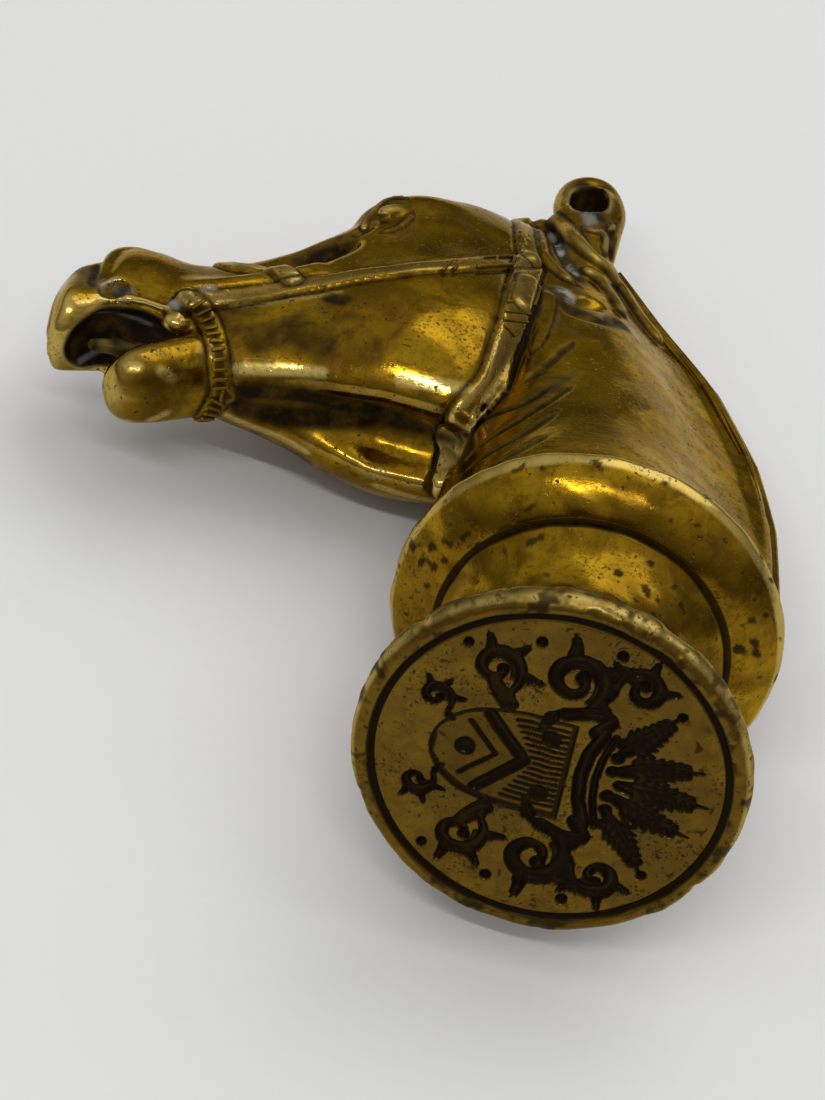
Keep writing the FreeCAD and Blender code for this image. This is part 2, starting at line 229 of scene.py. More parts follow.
class Loft:
    """A smooth form through side-view stations, kept as polar radii about the middle of each."""

    def __init__(self, station_shares, depth_shares, half_width):
        tops, bottoms, radii = [], [], []
        self.angles = np.linspace(0, math.pi, polar_steps)
        for top_shares, bottom_shares, width_shares in station_shares:
            top, bottom = side(*top_shares), side(*bottom_shares)
            depth = np.linalg.norm(bottom - top)
            left = [(depth * (share - 0.5), width * half_width)
                    for share, width in zip(depth_shares, width_shares)]
            right = [(down, -out) for down, out in reversed(left)]
            ring = ring_spline([(-depth / 2, 0)] + left + [(depth / 2, 0)] + right, 24)
            ring = ring[ring[:, 1] >= -1e-9]
            turn = np.arctan2(np.maximum(ring[:, 1], 0), ring[:, 0])
            order = np.argsort(turn)
            radii.append(np.interp(self.angles, turn[order], np.hypot(*ring.T)[order]))
            tops.append(top)
            bottoms.append(bottom)
        self.tops = smooth_rows(tops, station_steps)
        self.bottoms = smooth_rows(bottoms, station_steps)
        self.radii = smooth_rows(radii, station_steps)

    def distance(self, clay):
        """Signed distances of the form on a clay's grid."""
        nose, left, rise = clay.axes
        place = np.stack(np.meshgrid(nose, rise, indexing="ij"), axis=-1)
        middle = (self.tops + self.bottoms) / 2
        down = self.bottoms - self.tops
        down /= np.linalg.norm(down, axis=1)[:, None]
        ahead = np.stack((-down[:, 1], down[:, 0]), axis=1)
        ahead *= np.sign(np.sum(ahead * np.gradient(middle, axis=0), axis=1))[:, None]
        offset = np.stack([(place - point) @ way for point, way in zip(middle, ahead)])
        depth = np.stack([(place - point) @ way for point, way in zip(middle, down)])
        between = (offset[:-1] >= 0) & (offset[1:] < 0)
        cost = np.where(between, np.abs(depth[:-1]), 1e6)
        index = np.argmin(cost, axis=0)
        found = np.take_along_axis(between, index[None], 0)[0]
        before_first = ~found & (np.hypot(offset[0], depth[0]) < np.hypot(offset[-1], depth[-1]))
        index = np.where(found, index, np.where(before_first, 0, len(offset) - 2))
        here = np.take_along_axis(offset, index[None], 0)[0]
        there = np.take_along_axis(offset, index[None] + 1, 0)[0]
        share = np.clip(np.where(found, here / (here - there + 1e-9), ~before_first), 0, 1)
        beyond = np.where(found, -1e3, np.where(before_first, -offset[0], offset[-1]))
        near = np.take_along_axis(depth, index[None], 0)[0]
        far = np.take_along_axis(depth, index[None] + 1, 0)[0]
        level = near * (1 - share) + far * share
        radii = self.radii[index] * (1 - share)[..., None] + self.radii[index + 1] * share[..., None]
        turn = np.arctan2(left[None, None, :], level[..., None])
        slot = turn / math.pi * (polar_steps - 1)
        low = np.clip(slot.astype(int), 0, polar_steps - 2)
        part = slot - low
        radius = (np.take_along_axis(radii, low, 2) * (1 - part)
                  + np.take_along_axis(radii, low + 1, 2) * part)
        field = np.hypot(level[..., None], left[None, None, :]) - radius
        field = np.maximum(field, beyond[..., None])
        return clay.evened(np.moveaxis(field, 1, 2))


class Clay:
    """A block of the casting's left half as signed distances, in millimetres, on an even grid."""

    def __init__(self, low, high, pitch):
        self.pitch = pitch
        self.low = np.array(low, float)
        counts = np.ceil((np.array(high) - self.low) / pitch).astype(int) + 1
        self.axes = [self.low[k] + pitch * np.arange(counts[k]) for k in range(3)]
        self.field = np.full(counts, 9.0)

    def evened(self, field):
        """A field rescaled so that it grows by one millimetre for each millimetre near its skin."""
        slope = np.sqrt(sum(part ** 2 for part in np.gradient(field, self.pitch)))
        return field / np.clip(slope, 0.35, 4.0)

    def window(self, low, high, margin):
        """The part of the grid round a box: its slices and its open coordinates."""
        slices, coords = [], []
        for k in range(3):
            first = int(np.searchsorted(self.axes[k], low[k] - margin))
            last = int(np.searchsorted(self.axes[k], high[k] + margin))
            slices.append(slice(first, last))
            shape = [1, 1, 1]
            shape[k] = -1
            coords.append(self.axes[k][first:last].reshape(shape))
        return tuple(slices), coords

    def add(self, tool, blend, sign=1):
        """Join a tool's form on with a fillet or, with a sign of -1, carve it out."""
        low, high, distance = tool
        part, coords = self.window(low, high, blend + 1.0)
        if self.field[part].size:
            self.field[part] = sign * soft_min(sign * self.field[part], distance(*coords), blend)

    def cut(self, tool, blend):
        """Carve a tool's form out, with a rounded lip."""
        self.add(tool, blend, -1)

    def relief(self, path, half_width, rise, edge, taper=0.0):
        """Raise the skin in a band along a path, or sink it where the rise is negative."""
        part, coords = self.window(path.min(axis=0), path.max(axis=0), half_width + edge + 0.5)
        if self.field[part].size:
            away = path_distance(path, tapered(path, taper), *coords)
            self.field[part] -= rise * smooth_step((half_width + edge / 2 - away) / edge)

    def sample(self, points):
        """The field at points, read between the grid's corners, on either side of the middle plane."""
        points = np.array(points, float)
        points[..., 1] = np.abs(points[..., 1])
        place = (points - self.low) / self.pitch
        top = np.array(self.field.shape) - 1.001
        place = np.clip(place, 0, top)
        corner = place.astype(int)
        share = place - corner
        total = 0.0
        for k in range(8):
            step = np.array((k & 1, k >> 1 & 1, k >> 2))
            weight = np.prod(np.where(step, share, 1 - share), axis=-1)
            at = corner + step
            total = total + weight * self.field[at[..., 0], at[..., 1], at[..., 2]]
        return total

    def slope(self, points):
        """The field's outward direction at points."""
        out = []
        for step in np.eye(3) * self.pitch:
            out.append(self.sample(points + step) - self.sample(points - step))
        way = np.stack(out, axis=-1)
        return way / np.maximum(np.linalg.norm(way, axis=-1, keepdims=True), 1e-9)

    def snapped(self, points):
        """Points moved on to the skin."""
        points = np.array(points, float)
        for _ in range(6):
            points -= self.slope(points) * self.sample(points)[..., None]
        return points

    def seen(self, pixel):
        """The first point of the skin that the camera sees at a pixel, or the nearest one beside it."""
        reach = np.arange(sight_near, sight_far, sight_step)
        line = camera_place() + sight_line(pixel) * reach[:, None]
        depth = self.sample(line)
        inside = np.flatnonzero(depth < 0)
        return line[inside[0]] if len(inside) else self.snapped(line[np.argmin(depth)])


# How far from the end of a narrow mark its thinning starts
taper_reach = 1.4


def run_along(path):
    """How far along a path each of its points lies."""
    return np.concatenate(([0], np.cumsum(np.linalg.norm(np.diff(path, axis=0), axis=1))))


def tapered(path, taper):
    """A thickness for each point of a path that falls to minus the taper at its two ends."""
    run = run_along(path)
    return -taper * (1 - smooth_step(np.minimum(run, run[-1] - run) / taper_reach))


def path_distance(path, radii, n, l, z):
    """Distances from a path of rounded links, whose thickness is a number or one for each point."""
    radii = np.broadcast_to(radii, len(path))
    best = np.full(np.broadcast_shapes(n.shape, l.shape, z.shape), 99.0)
    for a, b, first, last in zip(path, path[1:], radii, radii[1:]):
        link = b - a
        share = (n - a[0]) * link[0] + (l - a[1]) * link[1] + (z - a[2]) * link[2]
        share = np.clip(share / max(link @ link, 1e-9), 0, 1)
        away = np.sqrt((n - a[0] - share * link[0]) ** 2 + (l - a[1] - share * link[1]) ** 2
                       + (z - a[2] - share * link[2]) ** 2)
        best = np.minimum(best, away - first - (last - first) * share)
    return best


def egg(place, halves, dip_degrees=0.0):
    """An ellipsoid tool, with its front end dipped."""
    place, halves = np.array(place, float), np.array(halves, float)
    dip = math.radians(dip_degrees)
    front = np.array((math.cos(dip), 0.0, -math.sin(dip)))
    top = np.array((math.sin(dip), 0.0, math.cos(dip)))
    out = np.cross(top, front)

    def distance(n, l, z):
        parts = [((n - place[0]) * way[0] + (l - place[1]) * way[1] + (z - place[2]) * way[2]) / half
                 for way, half in zip((front, out, top), halves)]
        ratio = np.sqrt(sum(part ** 2 for part in parts))
        steep = np.sqrt(sum((part / half) ** 2 for part, half in zip(parts, halves)))
        return ratio * (ratio - 1) / np.maximum(steep, 1e-6)

    reach = max(halves)
    return place - reach, place + reach, distance


def cord(points, radii):
    """A tool of rounded links through points."""
    path = np.array(points, float)
    reach = np.max(radii)
    return (path.min(axis=0) - reach, path.max(axis=0) + reach,
            lambda n, l, z: path_distance(path, radii, n, l, z))


# The loose forms of the head, in millimetres from the seal's axis: nose, left, up
head_loft = Loft(head_station_shares, head_depth_shares, cheek_half_width)
neck_loft = Loft(neck_station_shares, neck_depth_shares, neck_half_width)
chin_loft = Loft(chin_station_shares, chin_depth_shares, chin_half_width)


def rough_out(clay):
    """The bare casting: head, neck, chin, lips, ears and crest, before the bridle is laid on."""
    clay.field = soft_min(head_loft.distance(clay), neck_loft.distance(clay), 0.7)
    muzzle(clay)
    clay.field = soft_min(clay.field, chin_loft.distance(clay), 0.4)
    clay.add(egg((17.6, 4.3, 50.6), (3.6, 1.93, 1.7), 26), 1.0)
    clay.add(cord(((30.0, 3.5, 36.6), (26.5, 4.1, 38.2), (22.5, 4.9, 40.4)), (0.5, 0.6, 0.5)), 1.2)
    clay.cut(cord(jaw_channel, jaw_channel_radii), 1.5)
    clay.cut(egg((23.6, 5.0, 42.8), (3.8, 1.1, 1.5), 38), 1.0)
    mane = [side(*station[0]) for station in neck_station_shares]
    clay.add(cord([(point[0] + 0.8, 0, point[1]) for point in mane], 1.15), 0.5)
    ears(clay)


# The channel between the jaw bones, from the chin back to the throat
jaw_channel = ((25.8, 0, 30.2), (24.2, 0, 30.3), (20.9, 0, 30.9), (15.6, 0, 31.3), (11.8, 0, 30.8))
jaw_channel_radii = (0.5, 1.0, 1.7, 2.4, 2.4)

# The lower edge of the upper lip, from the corner of the mouth round to the front
lip_edge = ((30.0, 3.4, 34.2), (31.3, 3.3, 34.7), (33.3, 3.05, 35.2), (35.3, 2.6, 34.9), (36.7, 2.0, 34.0),
            (37.3, 1.1, 33.3), (37.4, 0.0, 33.1))
lip_thickness = (0.20, 0.22, 0.24, 0.30, 0.48, 0.62, 0.62)

# The flared wing round the front of a nostril
nostril_wing = ((32.6, 2.9, 39.6), (33.8, 2.7, 41.0), (34.9, 2.5, 41.2), (35.5, 2.7, 40.1),
                (35.6, 2.8, 38.5), (35.5, 2.7, 37.2))

# The hollows of the mouth and of an ear
mouth_hollow = egg((32.8, 0, 33.3), (3.9, 2.85, 3.0), 2)
ear_hollow = egg((6.7, 4.3, 59.6), (1.25, 3.0, 2.1))


def muzzle(clay):
    """The open mouth and the upper lip's thick edge, the tongue, and the wings of the nostrils."""
    clay.cut(mouth_hollow, 0.2)
    lip = smooth_rows(lip_edge, 3)
    clay.add(cord(lip, np.interp(np.linspace(0, 6, len(lip)), range(7), lip_thickness)), 0.25)
    clay.add(cord(((31.8, 0, 33.2), (33.6, 0, 33.9), (35.0, 0, 33.5)), (0.7, 0.6, 0.45)), 0.3)
    clay.add(cord(smooth_rows(nostril_wing, 3), 0.5), 0.35)


# The rolled rim of an ear, from the fold at its root, over its tip and down its front
ear_rim = ((5.0, 3.3, 54.5), (4.9, 3.2, 57.6), (5.0, 3.1, 60.4), (5.8, 3.0, 62.6), (6.9, 3.0, 63.0),
           (7.9, 3.0, 62.0), (8.2, 3.1, 59.8), (7.6, 3.5, 57.4), (6.5, 3.8, 56.2))


def ears(clay):
    """The pricked ears, each a thick rolled shell with a blind hollow on its outer side."""
    clay.add(cord(((10.4, 1.2, 56.9), (9.2, 1.8, 57.4)), (1.6, 1.3)), 0.8)
    clay.add(cord(((6.0, 2.6, 50.6), (6.1, 2.8, 54.5), (6.5, 2.7, 60.6)), (2.1, 1.95, 1.9)), 0.5)
    clay.add(cord(smooth_rows(ear_rim, 3), 0.9), 0.35)
    clay.cut(ear_hollow, 0.2)


# The coarse clay on which the lines are found: its corners and how fine its grid is
mould_low, mould_high, mould_pitch = (-13, 0, 16), (40, 11, 67), 0.4


class Mould:
    """The bridle's lines and other marks, found once on a coarse clay of the bare casting."""

    def __init__(self):
        self.clay = Clay(mould_low, mould_high, mould_pitch)
        rough_out(self.clay)
        self.lines = {name: self.traced(*line) for name, line in strap_lines.items()}
        self.lines |= {name: self.traced(mark[-1], ()) for name, mark in marks_on_skin.items()}

    def traced(self, pixels, hidden):
        """A smooth path on the skin through what is seen at pixels, then on through hidden points."""
        stops = [self.clay.seen(pixel) for pixel in pixels] + [np.array(point, float) for point in hidden]
        path = self.clay.snapped(smooth_rows(self.clay.snapped(stops), 5))
        path[:, 1] = np.maximum(path[:, 1], 0)
        return path


@lru_cache(maxsize=None)
def bare_mould():
    """The mould, made once and shared by the operators that work on the casting."""
    return Mould()


# Lines of the straps: pixels of the picture where each shows, then points in millimetres where it doesn't
strap_lines = {
    "cheek_strap": (((184, 301), (215, 300), (250, 297), (300, 287), (350, 278), (403, 271), (460, 266),
                     (531, 262)), ()),
    "nose_strap": (((292, 281), (262, 272), (232, 267)), ((28.9, 1.2, 43.6), (29.3, 0, 43.8))),
    "curb_strap": (((185, 298), (199, 308), (210, 325), (216, 346), (219, 370), (222, 391), (225, 408)),
                    ((26.0, 0, 31.0),)),
    "throat_strap": (((529, 264), (519, 300), (505, 345), (490, 385), (465, 415), (450, 447),
                      (437, 478)), ((11.4, 0, 25.0),)),
    "brow_strap": (((530, 262), (526, 240), (521, 222)), ((10.6, 1.6, 57.4), (10.8, 0, 57.8))),
}

# Plain marks: half width, rise or, below zero, depth, how soft the edge is, and the pixels of the line
marks_on_skin = {
    "throat_ridge": (0.4, 0.3, 0.8, ((545, 286), (548, 305), (543, 330), (530, 355))),
    "crown_strap": (0.42, 0.42, 0.3, ((536, 226), (541, 247), (551, 266), (566, 280), (581, 289))),
    "slot": (0.3, -0.75, 0.35, ((552, 234), (562, 254), (577, 279))),
    "mane_lock": (0.55, 0.7, 0.45, ((556, 222), (575, 240), (595, 262), (617, 287), (638, 318),
                                    (655, 339))),
    "leaf": (0.5, 0.7, 0.4, ((588, 275), (600, 285), (610, 298), (618, 312))),
    "leaf_foot": (0.2, -0.35, 0.4, ((556, 300), (575, 315), (600, 323), (624, 324))),
    "jaw_groove": (0.2, -0.4, 0.5, ((500, 392), (478, 420), (462, 448))),
    "crease_1": (0.16, -0.5, 0.42, ((516, 388), (545, 366), (580, 338))),
    "crease_2": (0.14, -0.5, 0.34, ((469, 443), (515, 408), (560, 381))),
    "crease_3": (0.14, -0.5, 0.34, ((459, 467), (520, 420), (580, 382))),
    "crease_4": (0.14, -0.46, 0.34, ((459, 476), (510, 442), (564, 410))),
    "crease_5": (0.14, -0.4, 0.34, ((466, 484), (512, 455), (560, 430))),
    "neck_nick": (0.08, -0.25, 0.3, ((630, 413), (641, 409), (652, 406))),
    "ear_fold_1": (0.2, 0.5, 0.35, ((576, 224), (590, 231), (604, 236), (603, 262))),
    "ear_fold_2": (0.18, 0.5, 0.35, ((618, 221), (604, 236))),
    "ear_side": (0.2, -0.5, 0.4, ((612, 226), (611, 250), (610, 270))),
    "wing_groove": (0.16, -0.45, 0.4, ((97, 263), (94, 272), (91, 282), (97, 289), (104, 293))),
    "upper_lid": (0.17, 0.46, 0.3, ((362, 236), (367, 222), (377, 208), (390, 199), (404, 198),
                                   (413, 205))),
    "lower_lid": (0.15, 0.36, 0.3, ((369, 236), (383, 233), (398, 228), (409, 219), (415, 207))),
    "eye_line_over": (0.08, -0.3, 0.25, ((377, 216), (384, 207), (395, 203), (405, 205), (411, 210))),
    "eye_line_under": (0.08, -0.3, 0.25, ((379, 221), (389, 222), (400, 219), (409, 214))),
    "lid_fold": (0.1, -0.26, 0.35, ((372, 243), (390, 240), (408, 232), (420, 218))),
    "brow_fold": (0.1, -0.3, 0.35, ((360, 220), (371, 204), (386, 194))),
    "temple_fold_1": (0.06, -0.12, 0.3, ((417, 224), (437, 222))),
    "temple_fold_2": (0.06, -0.12, 0.3, ((414, 236), (434, 234))),
    "nose_groove": (0.3, -0.55, 0.8, ((358, 240), (330, 254), (300, 265))),
    "bar_ridge": (0.2, 0.12, 0.5, ((222, 305), (255, 301), (292, 300))),
    "buckle_plate": (0.85, 0.34, 0.25, ((527, 285), (520, 305))),
}

# Chased bars on the straps and the buckle: the pixels of both ends, and the width in millimetres
strap_bars = (
    ((443, 273), (450, 265), 0.22), ((454, 272), (460, 264), 0.22), ((477, 270), (481, 261), 0.2),
    ((494, 269), (496, 260), 0.2), ((511, 268), (513, 260), 0.22), ((478, 270), (511, 268), 0.16),
    ((481, 261), (513, 260), 0.16), ((511, 287), (538, 290), 0.24), ((506, 304), (533, 307), 0.24),
    ((511, 287), (506, 304), 0.22), ((525, 288), (520, 306), 0.28), ((538, 290), (533, 307), 0.22),
    ((504, 313), (527, 316), 0.24), ((502, 321), (525, 324), 0.24), ((502, 327), (512, 337), 0.2),
    ((512, 337), (521, 329), 0.2),
)

# Strands of the mane: how far each lies to the side, how thick it is, and how far down the neck it runs
mane_strands = ((0.0, 1.9, 1.0), (0.75, 1.1, 0.62), (1.3, 1.0, 0.5), (1.85, 0.9, 0.36))

# Beads and hollows seen at a pixel: half lengths, front end's dip in degrees, and blend
beads_on_skin = (
    ((395, 212), (1.3, 0.5, 0.62), 32, 0.12),
    ((177, 323), (1.0, 0.7, 0.78), 10, 0.15),
    ((174, 306), (0.42, 0.36, 0.42), 0, 0.1),
)
hollows_on_skin = (
    ((362, 231), (0.9, 0.55, 0.5), 40, 0.3),
    ((588, 304), (1.5, 0.75, 0.8), 40, 0.3),
    ((114, 289), (1.05, 0.8, 0.62), 25, 0.2),
    ((208, 290), (0.35, 0.2, 0.25), 0, 0.15),
)

# Patches of colour: pixels along a patch, its half width in millimetres, and how thickly it lies
grey_deposits = (
    (((108, 285), (123, 292)), 0.6, 1.0), (((174, 305), (175, 306)), 0.4, 0.9),
    (((204, 290), (212, 290)), 0.35, 0.7), (((88, 316), (104, 312), (125, 316), (150, 324)), 0.2, 0.45),
    (((552, 236), (562, 254), (575, 275)), 0.26, 1.0), (((562, 292), (575, 304), (596, 314)), 0.55, 1.0),
    (((588, 214), (592, 224)), 0.5, 0.6),
)
# Dark patches: brown stains on the cheek, and painted shade in the mouth, ear hole, slot, grooves, creases,
# buckle holes, jaw channel, under the jaw and under the leaf
dark_stains_and_shade = (
    (((110, 334), (130, 336), (150, 333)), 1.6, 1.0), (((90, 340), (105, 350), (125, 350)), 1.4, 1.0),
    (((85, 335), (95, 355), (100, 370)), 0.9, 0.6), (((300, 262), (330, 250), (358, 234)), 0.8, 0.85),
    (((82, 268), (92, 275), (86, 285)), 0.8, 0.6), (((238, 268), (260, 276), (285, 280)), 0.5, 0.5),
    (((195, 268), (220, 275)), 0.9, 0.35),
    (((246, 390), (290, 393), (340, 403), (400, 422), (450, 444)), 0.9, 1.0),
    (((250, 398), (300, 408), (350, 425), (400, 445)), 1.2, 0.6), (((270, 335), (310, 336)), 0.7, 0.35),
    (((190, 335), (205, 360), (209, 395)), 0.35, 0.7), (((236, 310), (238, 340), (240, 365)), 0.35, 0.5),
    (((583, 196), (590, 206), (594, 214)), 1.1, 1.0), (((500, 392), (462, 448), (440, 480)), 0.5, 0.8),
    (((515, 295), (516, 298)), 0.42, 1.0), (((529, 297), (530, 300)), 0.42, 1.0),
    (((485, 265), (507, 264)), 0.2, 0.9), (((96, 270), (92, 284), (104, 292)), 0.35, 0.8),
    (((258, 338), (296, 330), (322, 342)), 1.3, 0.8), (((330, 298), (344, 300)), 0.6, 1.0),
    (((240, 322), (262, 346)), 1.6, 0.5), (((346, 326), (366, 350)), 1.2, 0.45),
    (((524, 405), (560, 380)), 1.0, 0.5), (((132, 380), (150, 386), (178, 386)), 0.9, 0.35),
    (((385, 217), (404, 208)), 0.55, 0.6), (((300, 430), (345, 450), (395, 466)), 1.3, 0.5),
    (((520, 410), (548, 392), (575, 372)), 0.5, 0.7), (((550, 230), (560, 252), (577, 280)), 0.75, 0.95),
    (((556, 292), (574, 312), (600, 322), (622, 326)), 0.7, 0.95), (((512, 294), (532, 298)), 0.5, 0.85),
)
# Pale patches: rubbed metal on the chin tip, and painted highlights along the jaw's edge, straps, chin,
# leaf, upper lip and brow
rubs_and_highlights = (
    (((236, 369), (280, 370), (322, 373)), 0.38, 1.0), (((402, 380), (432, 384), (468, 390)), 0.42, 1.0),
    (((232, 307), (262, 305), (300, 299), (340, 292)), 0.2, 0.7),
    (((478, 402), (498, 385), (512, 362)), 0.3, 0.6), (((110, 378), (112, 396), (126, 408)), 0.75, 0.55),
    (((128, 366), (138, 367)), 0.34, 0.9), (((160, 371), (172, 378)), 0.34, 0.9),
    (((590, 272), (606, 284), (618, 308)), 0.32, 1.0),
    (((78, 304), (104, 300), (124, 306), (137, 312)), 0.2, 0.9),
    (((404, 196), (420, 190), (440, 193)), 0.4, 0.5),
)

# The flat straps, the trench sunk beside each, and how narrow a mark is that thins out at its ends
strap_names = ("nose_strap", "brow_strap", "throat_strap", "cheek_strap")
strap_foot_width = 0.26
strap_foot_depth = 0.16
thin_mark = 0.5


def strap_half(name, sizes):
    """Half the width of a strap; the one down the cheek to the throat is the widest."""
    return sizes.strap_width * (0.72 if name == "throat_strap" else 0.5)


def dress(clay, mould, sizes):
    """The bridle, creases and finer forms, laid on the bare casting."""
    lines = mould.lines
    for name, (half_width, rise, edge, _) in marks_on_skin.items():
        taper = edge + half_width if half_width < thin_mark else 0.0
        clay.relief(lines[name], half_width, rise, edge, taper)
    for name in strap_names:
        half = strap_half(name, sizes)
        clay.relief(lines[name], half + strap_foot_width, -strap_foot_depth, 0.3)
        clay.relief(lines[name], half, sizes.strap_rise + strap_foot_depth, 0.16)
    clay.relief(lines["curb_strap"], sizes.curb_width / 2 + 0.25, -0.15, 0.25)
    clay.relief(lines["curb_strap"], sizes.curb_width / 2, sizes.strap_rise, 0.2)
    for work, table in ((clay.cut, hollows_on_skin), (clay.add, beads_on_skin)):
        for pixel, halves, dip, blend in table:
            work(egg(mould.clay.seen(pixel), halves, dip), blend)


def on_left(points):
    """The coordinates of points on the skin, with the right side's taken over to the left."""
    return points[:, 0], np.abs(points[:, 1]), points[:, 2]


def patch_share(points, mould, patches):
    """How strongly listed patches lie at points on the skin, on both sides of the head: residue, stains,
    painted shade and painted highlights.
    """
    shares = []
    for pixels, half_width, share in patches:
        path = np.array([mould.clay.seen(pixel) for pixel in pixels])
        away = path_distance(path, 0.0, *on_left(points))
        shares.append(share * smooth_step(1.5 - away / half_width))
    return np.maximum.reduce(shares)


def crevice_dirt_and_shade(points, mould, sizes):
    """How much dirt and painted shade lie along the feet of the straps, beside raised marks, in sunk ones
    and in the mouth and ear hollows.
    """
    place = on_left(points)
    bands = {name: (strap_half(name, sizes), sizes.strap_rise, 0.2) for name in strap_names}
    bands["curb_strap"] = (sizes.curb_width / 2, sizes.strap_rise, 0.2)
    shares = []
    for name, (half_width, rise, edge, *_) in (marks_on_skin | bands).items():
        line = mould.lines[name]
        taper = 0.5 if half_width < thin_mark else 0.0
        away = path_distance(line, half_width + tapered(line, taper), *place)
        if rise < 0:
            shares.append(smooth_step(1.1 - np.maximum(away, 0) / edge) * min(1.0, -2.2 * rise))
        else:
            shares.append(smooth_step(1.15 - np.abs(away - 0.16) / 0.22) * min(1.0, 4.0 * rise))
    for tool, reach in ((mouth_hollow, 0.3), (ear_hollow, 0.25)):
        shares.append(smooth_step(1.3 - np.abs(tool[2](*place)) / reach))
    ladder = path_distance(mould.lines["curb_strap"], sizes.curb_width / 2 - 0.15, *place)
    shares.append(0.85 * smooth_step(-ladder / 0.2))
    return np.maximum.reduce(shares)


def strap_faces(points, mould, sizes):
    """Where the flat faces of the straps lie, which are paler than the skin beside them."""
    return np.maximum.reduce([
        smooth_step(-path_distance(mould.lines[name], strap_half(name, sizes), *on_left(points)) / 0.22)
        for name in strap_names])


# Blocks of the casting: lowest and highest corner; a plane at the throatlatch parts the head from the
# neck, and the two overlap a little under that strap
seam_nose = 10.0
seam_rise = 27.0
seam_overlap = 0.12
block_bounds = {
    "horse_head": ((seam_nose - 1.2, 0, 23.5), (39.5, 8.6, 60.0)),
    "horse_neck": ((-13.0, 0, 16.6), (13.2, 11.0, 66.5)),
}


def seam(clay, of_head):
    """Signed distance outside the head's or the neck's own block."""
    n, _, z = clay.window(clay.low, [axis[-1] for axis in clay.axes], 1.0)[1]
    outside = np.maximum(seam_nose - n, seam_rise - z)
    return (outside if of_head else -outside) - seam_overlap


def blurred(field, reach):
    """A field averaged over a box that reaches some cells each way, twice."""
    for _ in range(2):
        for axis in range(3):
            padded = np.pad(field, [(reach + 1, reach) if k == axis else (0, 0) for k in range(3)], "edge")
            total = np.cumsum(padded, axis=axis)
            count = field.shape[axis]
            high = np.take(total, range(2 * reach + 1, 2 * reach + 1 + count), axis=axis)
            low = np.take(total, range(count), axis=axis)
            field = (high - low) / (2 * reach + 1)
    return field


def skin_net(field):
    """The skin of a field as points, in grid cells, and four-cornered faces that point outwards."""
    cells = np.array(field.shape) - 1
    rings, spots = [], []
    for axis in range(3):
        b, c = (axis + 1) % 3, (axis + 2) % 3
        low = [slice(None)] * 3
        low[axis] = slice(None, -1)
        high = [slice(None)] * 3
        high[axis] = slice(1, None)
        first, second = field[tuple(low)], field[tuple(high)]
        crossing = np.argwhere((first < 0) != (second < 0))
        inside = np.all((crossing[:, (b, c)] > 0) & (crossing[:, (b, c)] < cells[[b, c]]), axis=1)
        crossing = crossing[inside]
        near, far = first[tuple(crossing.T)], second[tuple(crossing.T)]
        spot = crossing.astype(float)
        spot[:, axis] += near / (near - far)
        ring = []
        for step_b, step_c in ((-1, -1), (0, -1), (0, 0), (-1, 0)):
            cell = crossing.copy()
            cell[:, b] += step_b
            cell[:, c] += step_c
            ring.append(np.ravel_multi_index(tuple(cell.T), tuple(cells)))
        ring = np.stack(ring, axis=1)
        ring[near > 0] = ring[near > 0][:, ::-1]
        rings.append(ring)
        spots.append(np.repeat(spot[:, None], 4, axis=1))
    ring = np.concatenate(rings)
    spot = np.concatenate(spots).reshape(-1, 3)
    _, inverse = np.unique(ring.ravel(), return_inverse=True)
    count = np.bincount(inverse)
    points = np.stack([np.bincount(inverse, weights=spot[:, k]) / count for k in range(3)], axis=1)
    return points, inverse.reshape(-1, 4)


def relaxed(points, faces, rounds):
    """Points of a net evened out without shrinking the form."""
    here, there = np.concatenate([faces[:, (k, (k + 1) % 4)] for k in range(4)]).T
    size = len(points)
    count = np.bincount(here, minlength=size)[:, None]
    for _ in range(rounds):
        for weight in (0.5, -0.52):
            total = np.stack([np.bincount(here, points[there, k], size) for k in range(3)], axis=1)
            points = points + weight * (total / count - points)
    return points


class Marks:
    """Seeded smooth noise in the seal's millimetres, for unevenness that the casting has from the start."""

    waves = 28

    def __init__(self, seed):
        rng = np.random.default_rng(seed)
        way = rng.normal(size=(self.waves, 3))
        self.way = way / np.linalg.norm(way, axis=1)[:, None] * rng.uniform(0.6, 1.4, (self.waves, 1))
        self.phase = rng.uniform(0, 2 * math.pi, self.waves)

    def at(self, points, size):
        """Noise of about unit strength whose swells are about the given size."""
        turns = points @ self.way.T * (2 * math.pi / size) + self.phase
        return np.sin(turns).sum(axis=-1) / math.sqrt(len(self.phase) / 2)


def linked(name, data):
    """An object with the given data, put in the scene."""
    made = bpy.data.objects.new(name, data)
    bpy.context.scene.collection.objects.link(made)
    return made


def mesh_piece(name, points, faces, attributes, material, node):
    """A closed smooth mesh from points in the seal's millimetres, laid down as a piece of the seal."""
    mesh = bpy.data.meshes.new(name)
    mesh.from_pydata(laid(points).tolist(), [], faces)
    for label, values in attributes.items():
        layer = mesh.attributes.new(label, "FLOAT", "POINT")
        layer.data.foreach_set("value", np.asarray(values, np.float32))
    mesh.polygons.foreach_set("use_smooth", np.ones(len(mesh.polygons), bool))
    mesh.materials.append(material)
    mesh.validate()
    mesh.update()
    piece = linked(name, mesh)
    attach(piece, BODY)
    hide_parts(node)


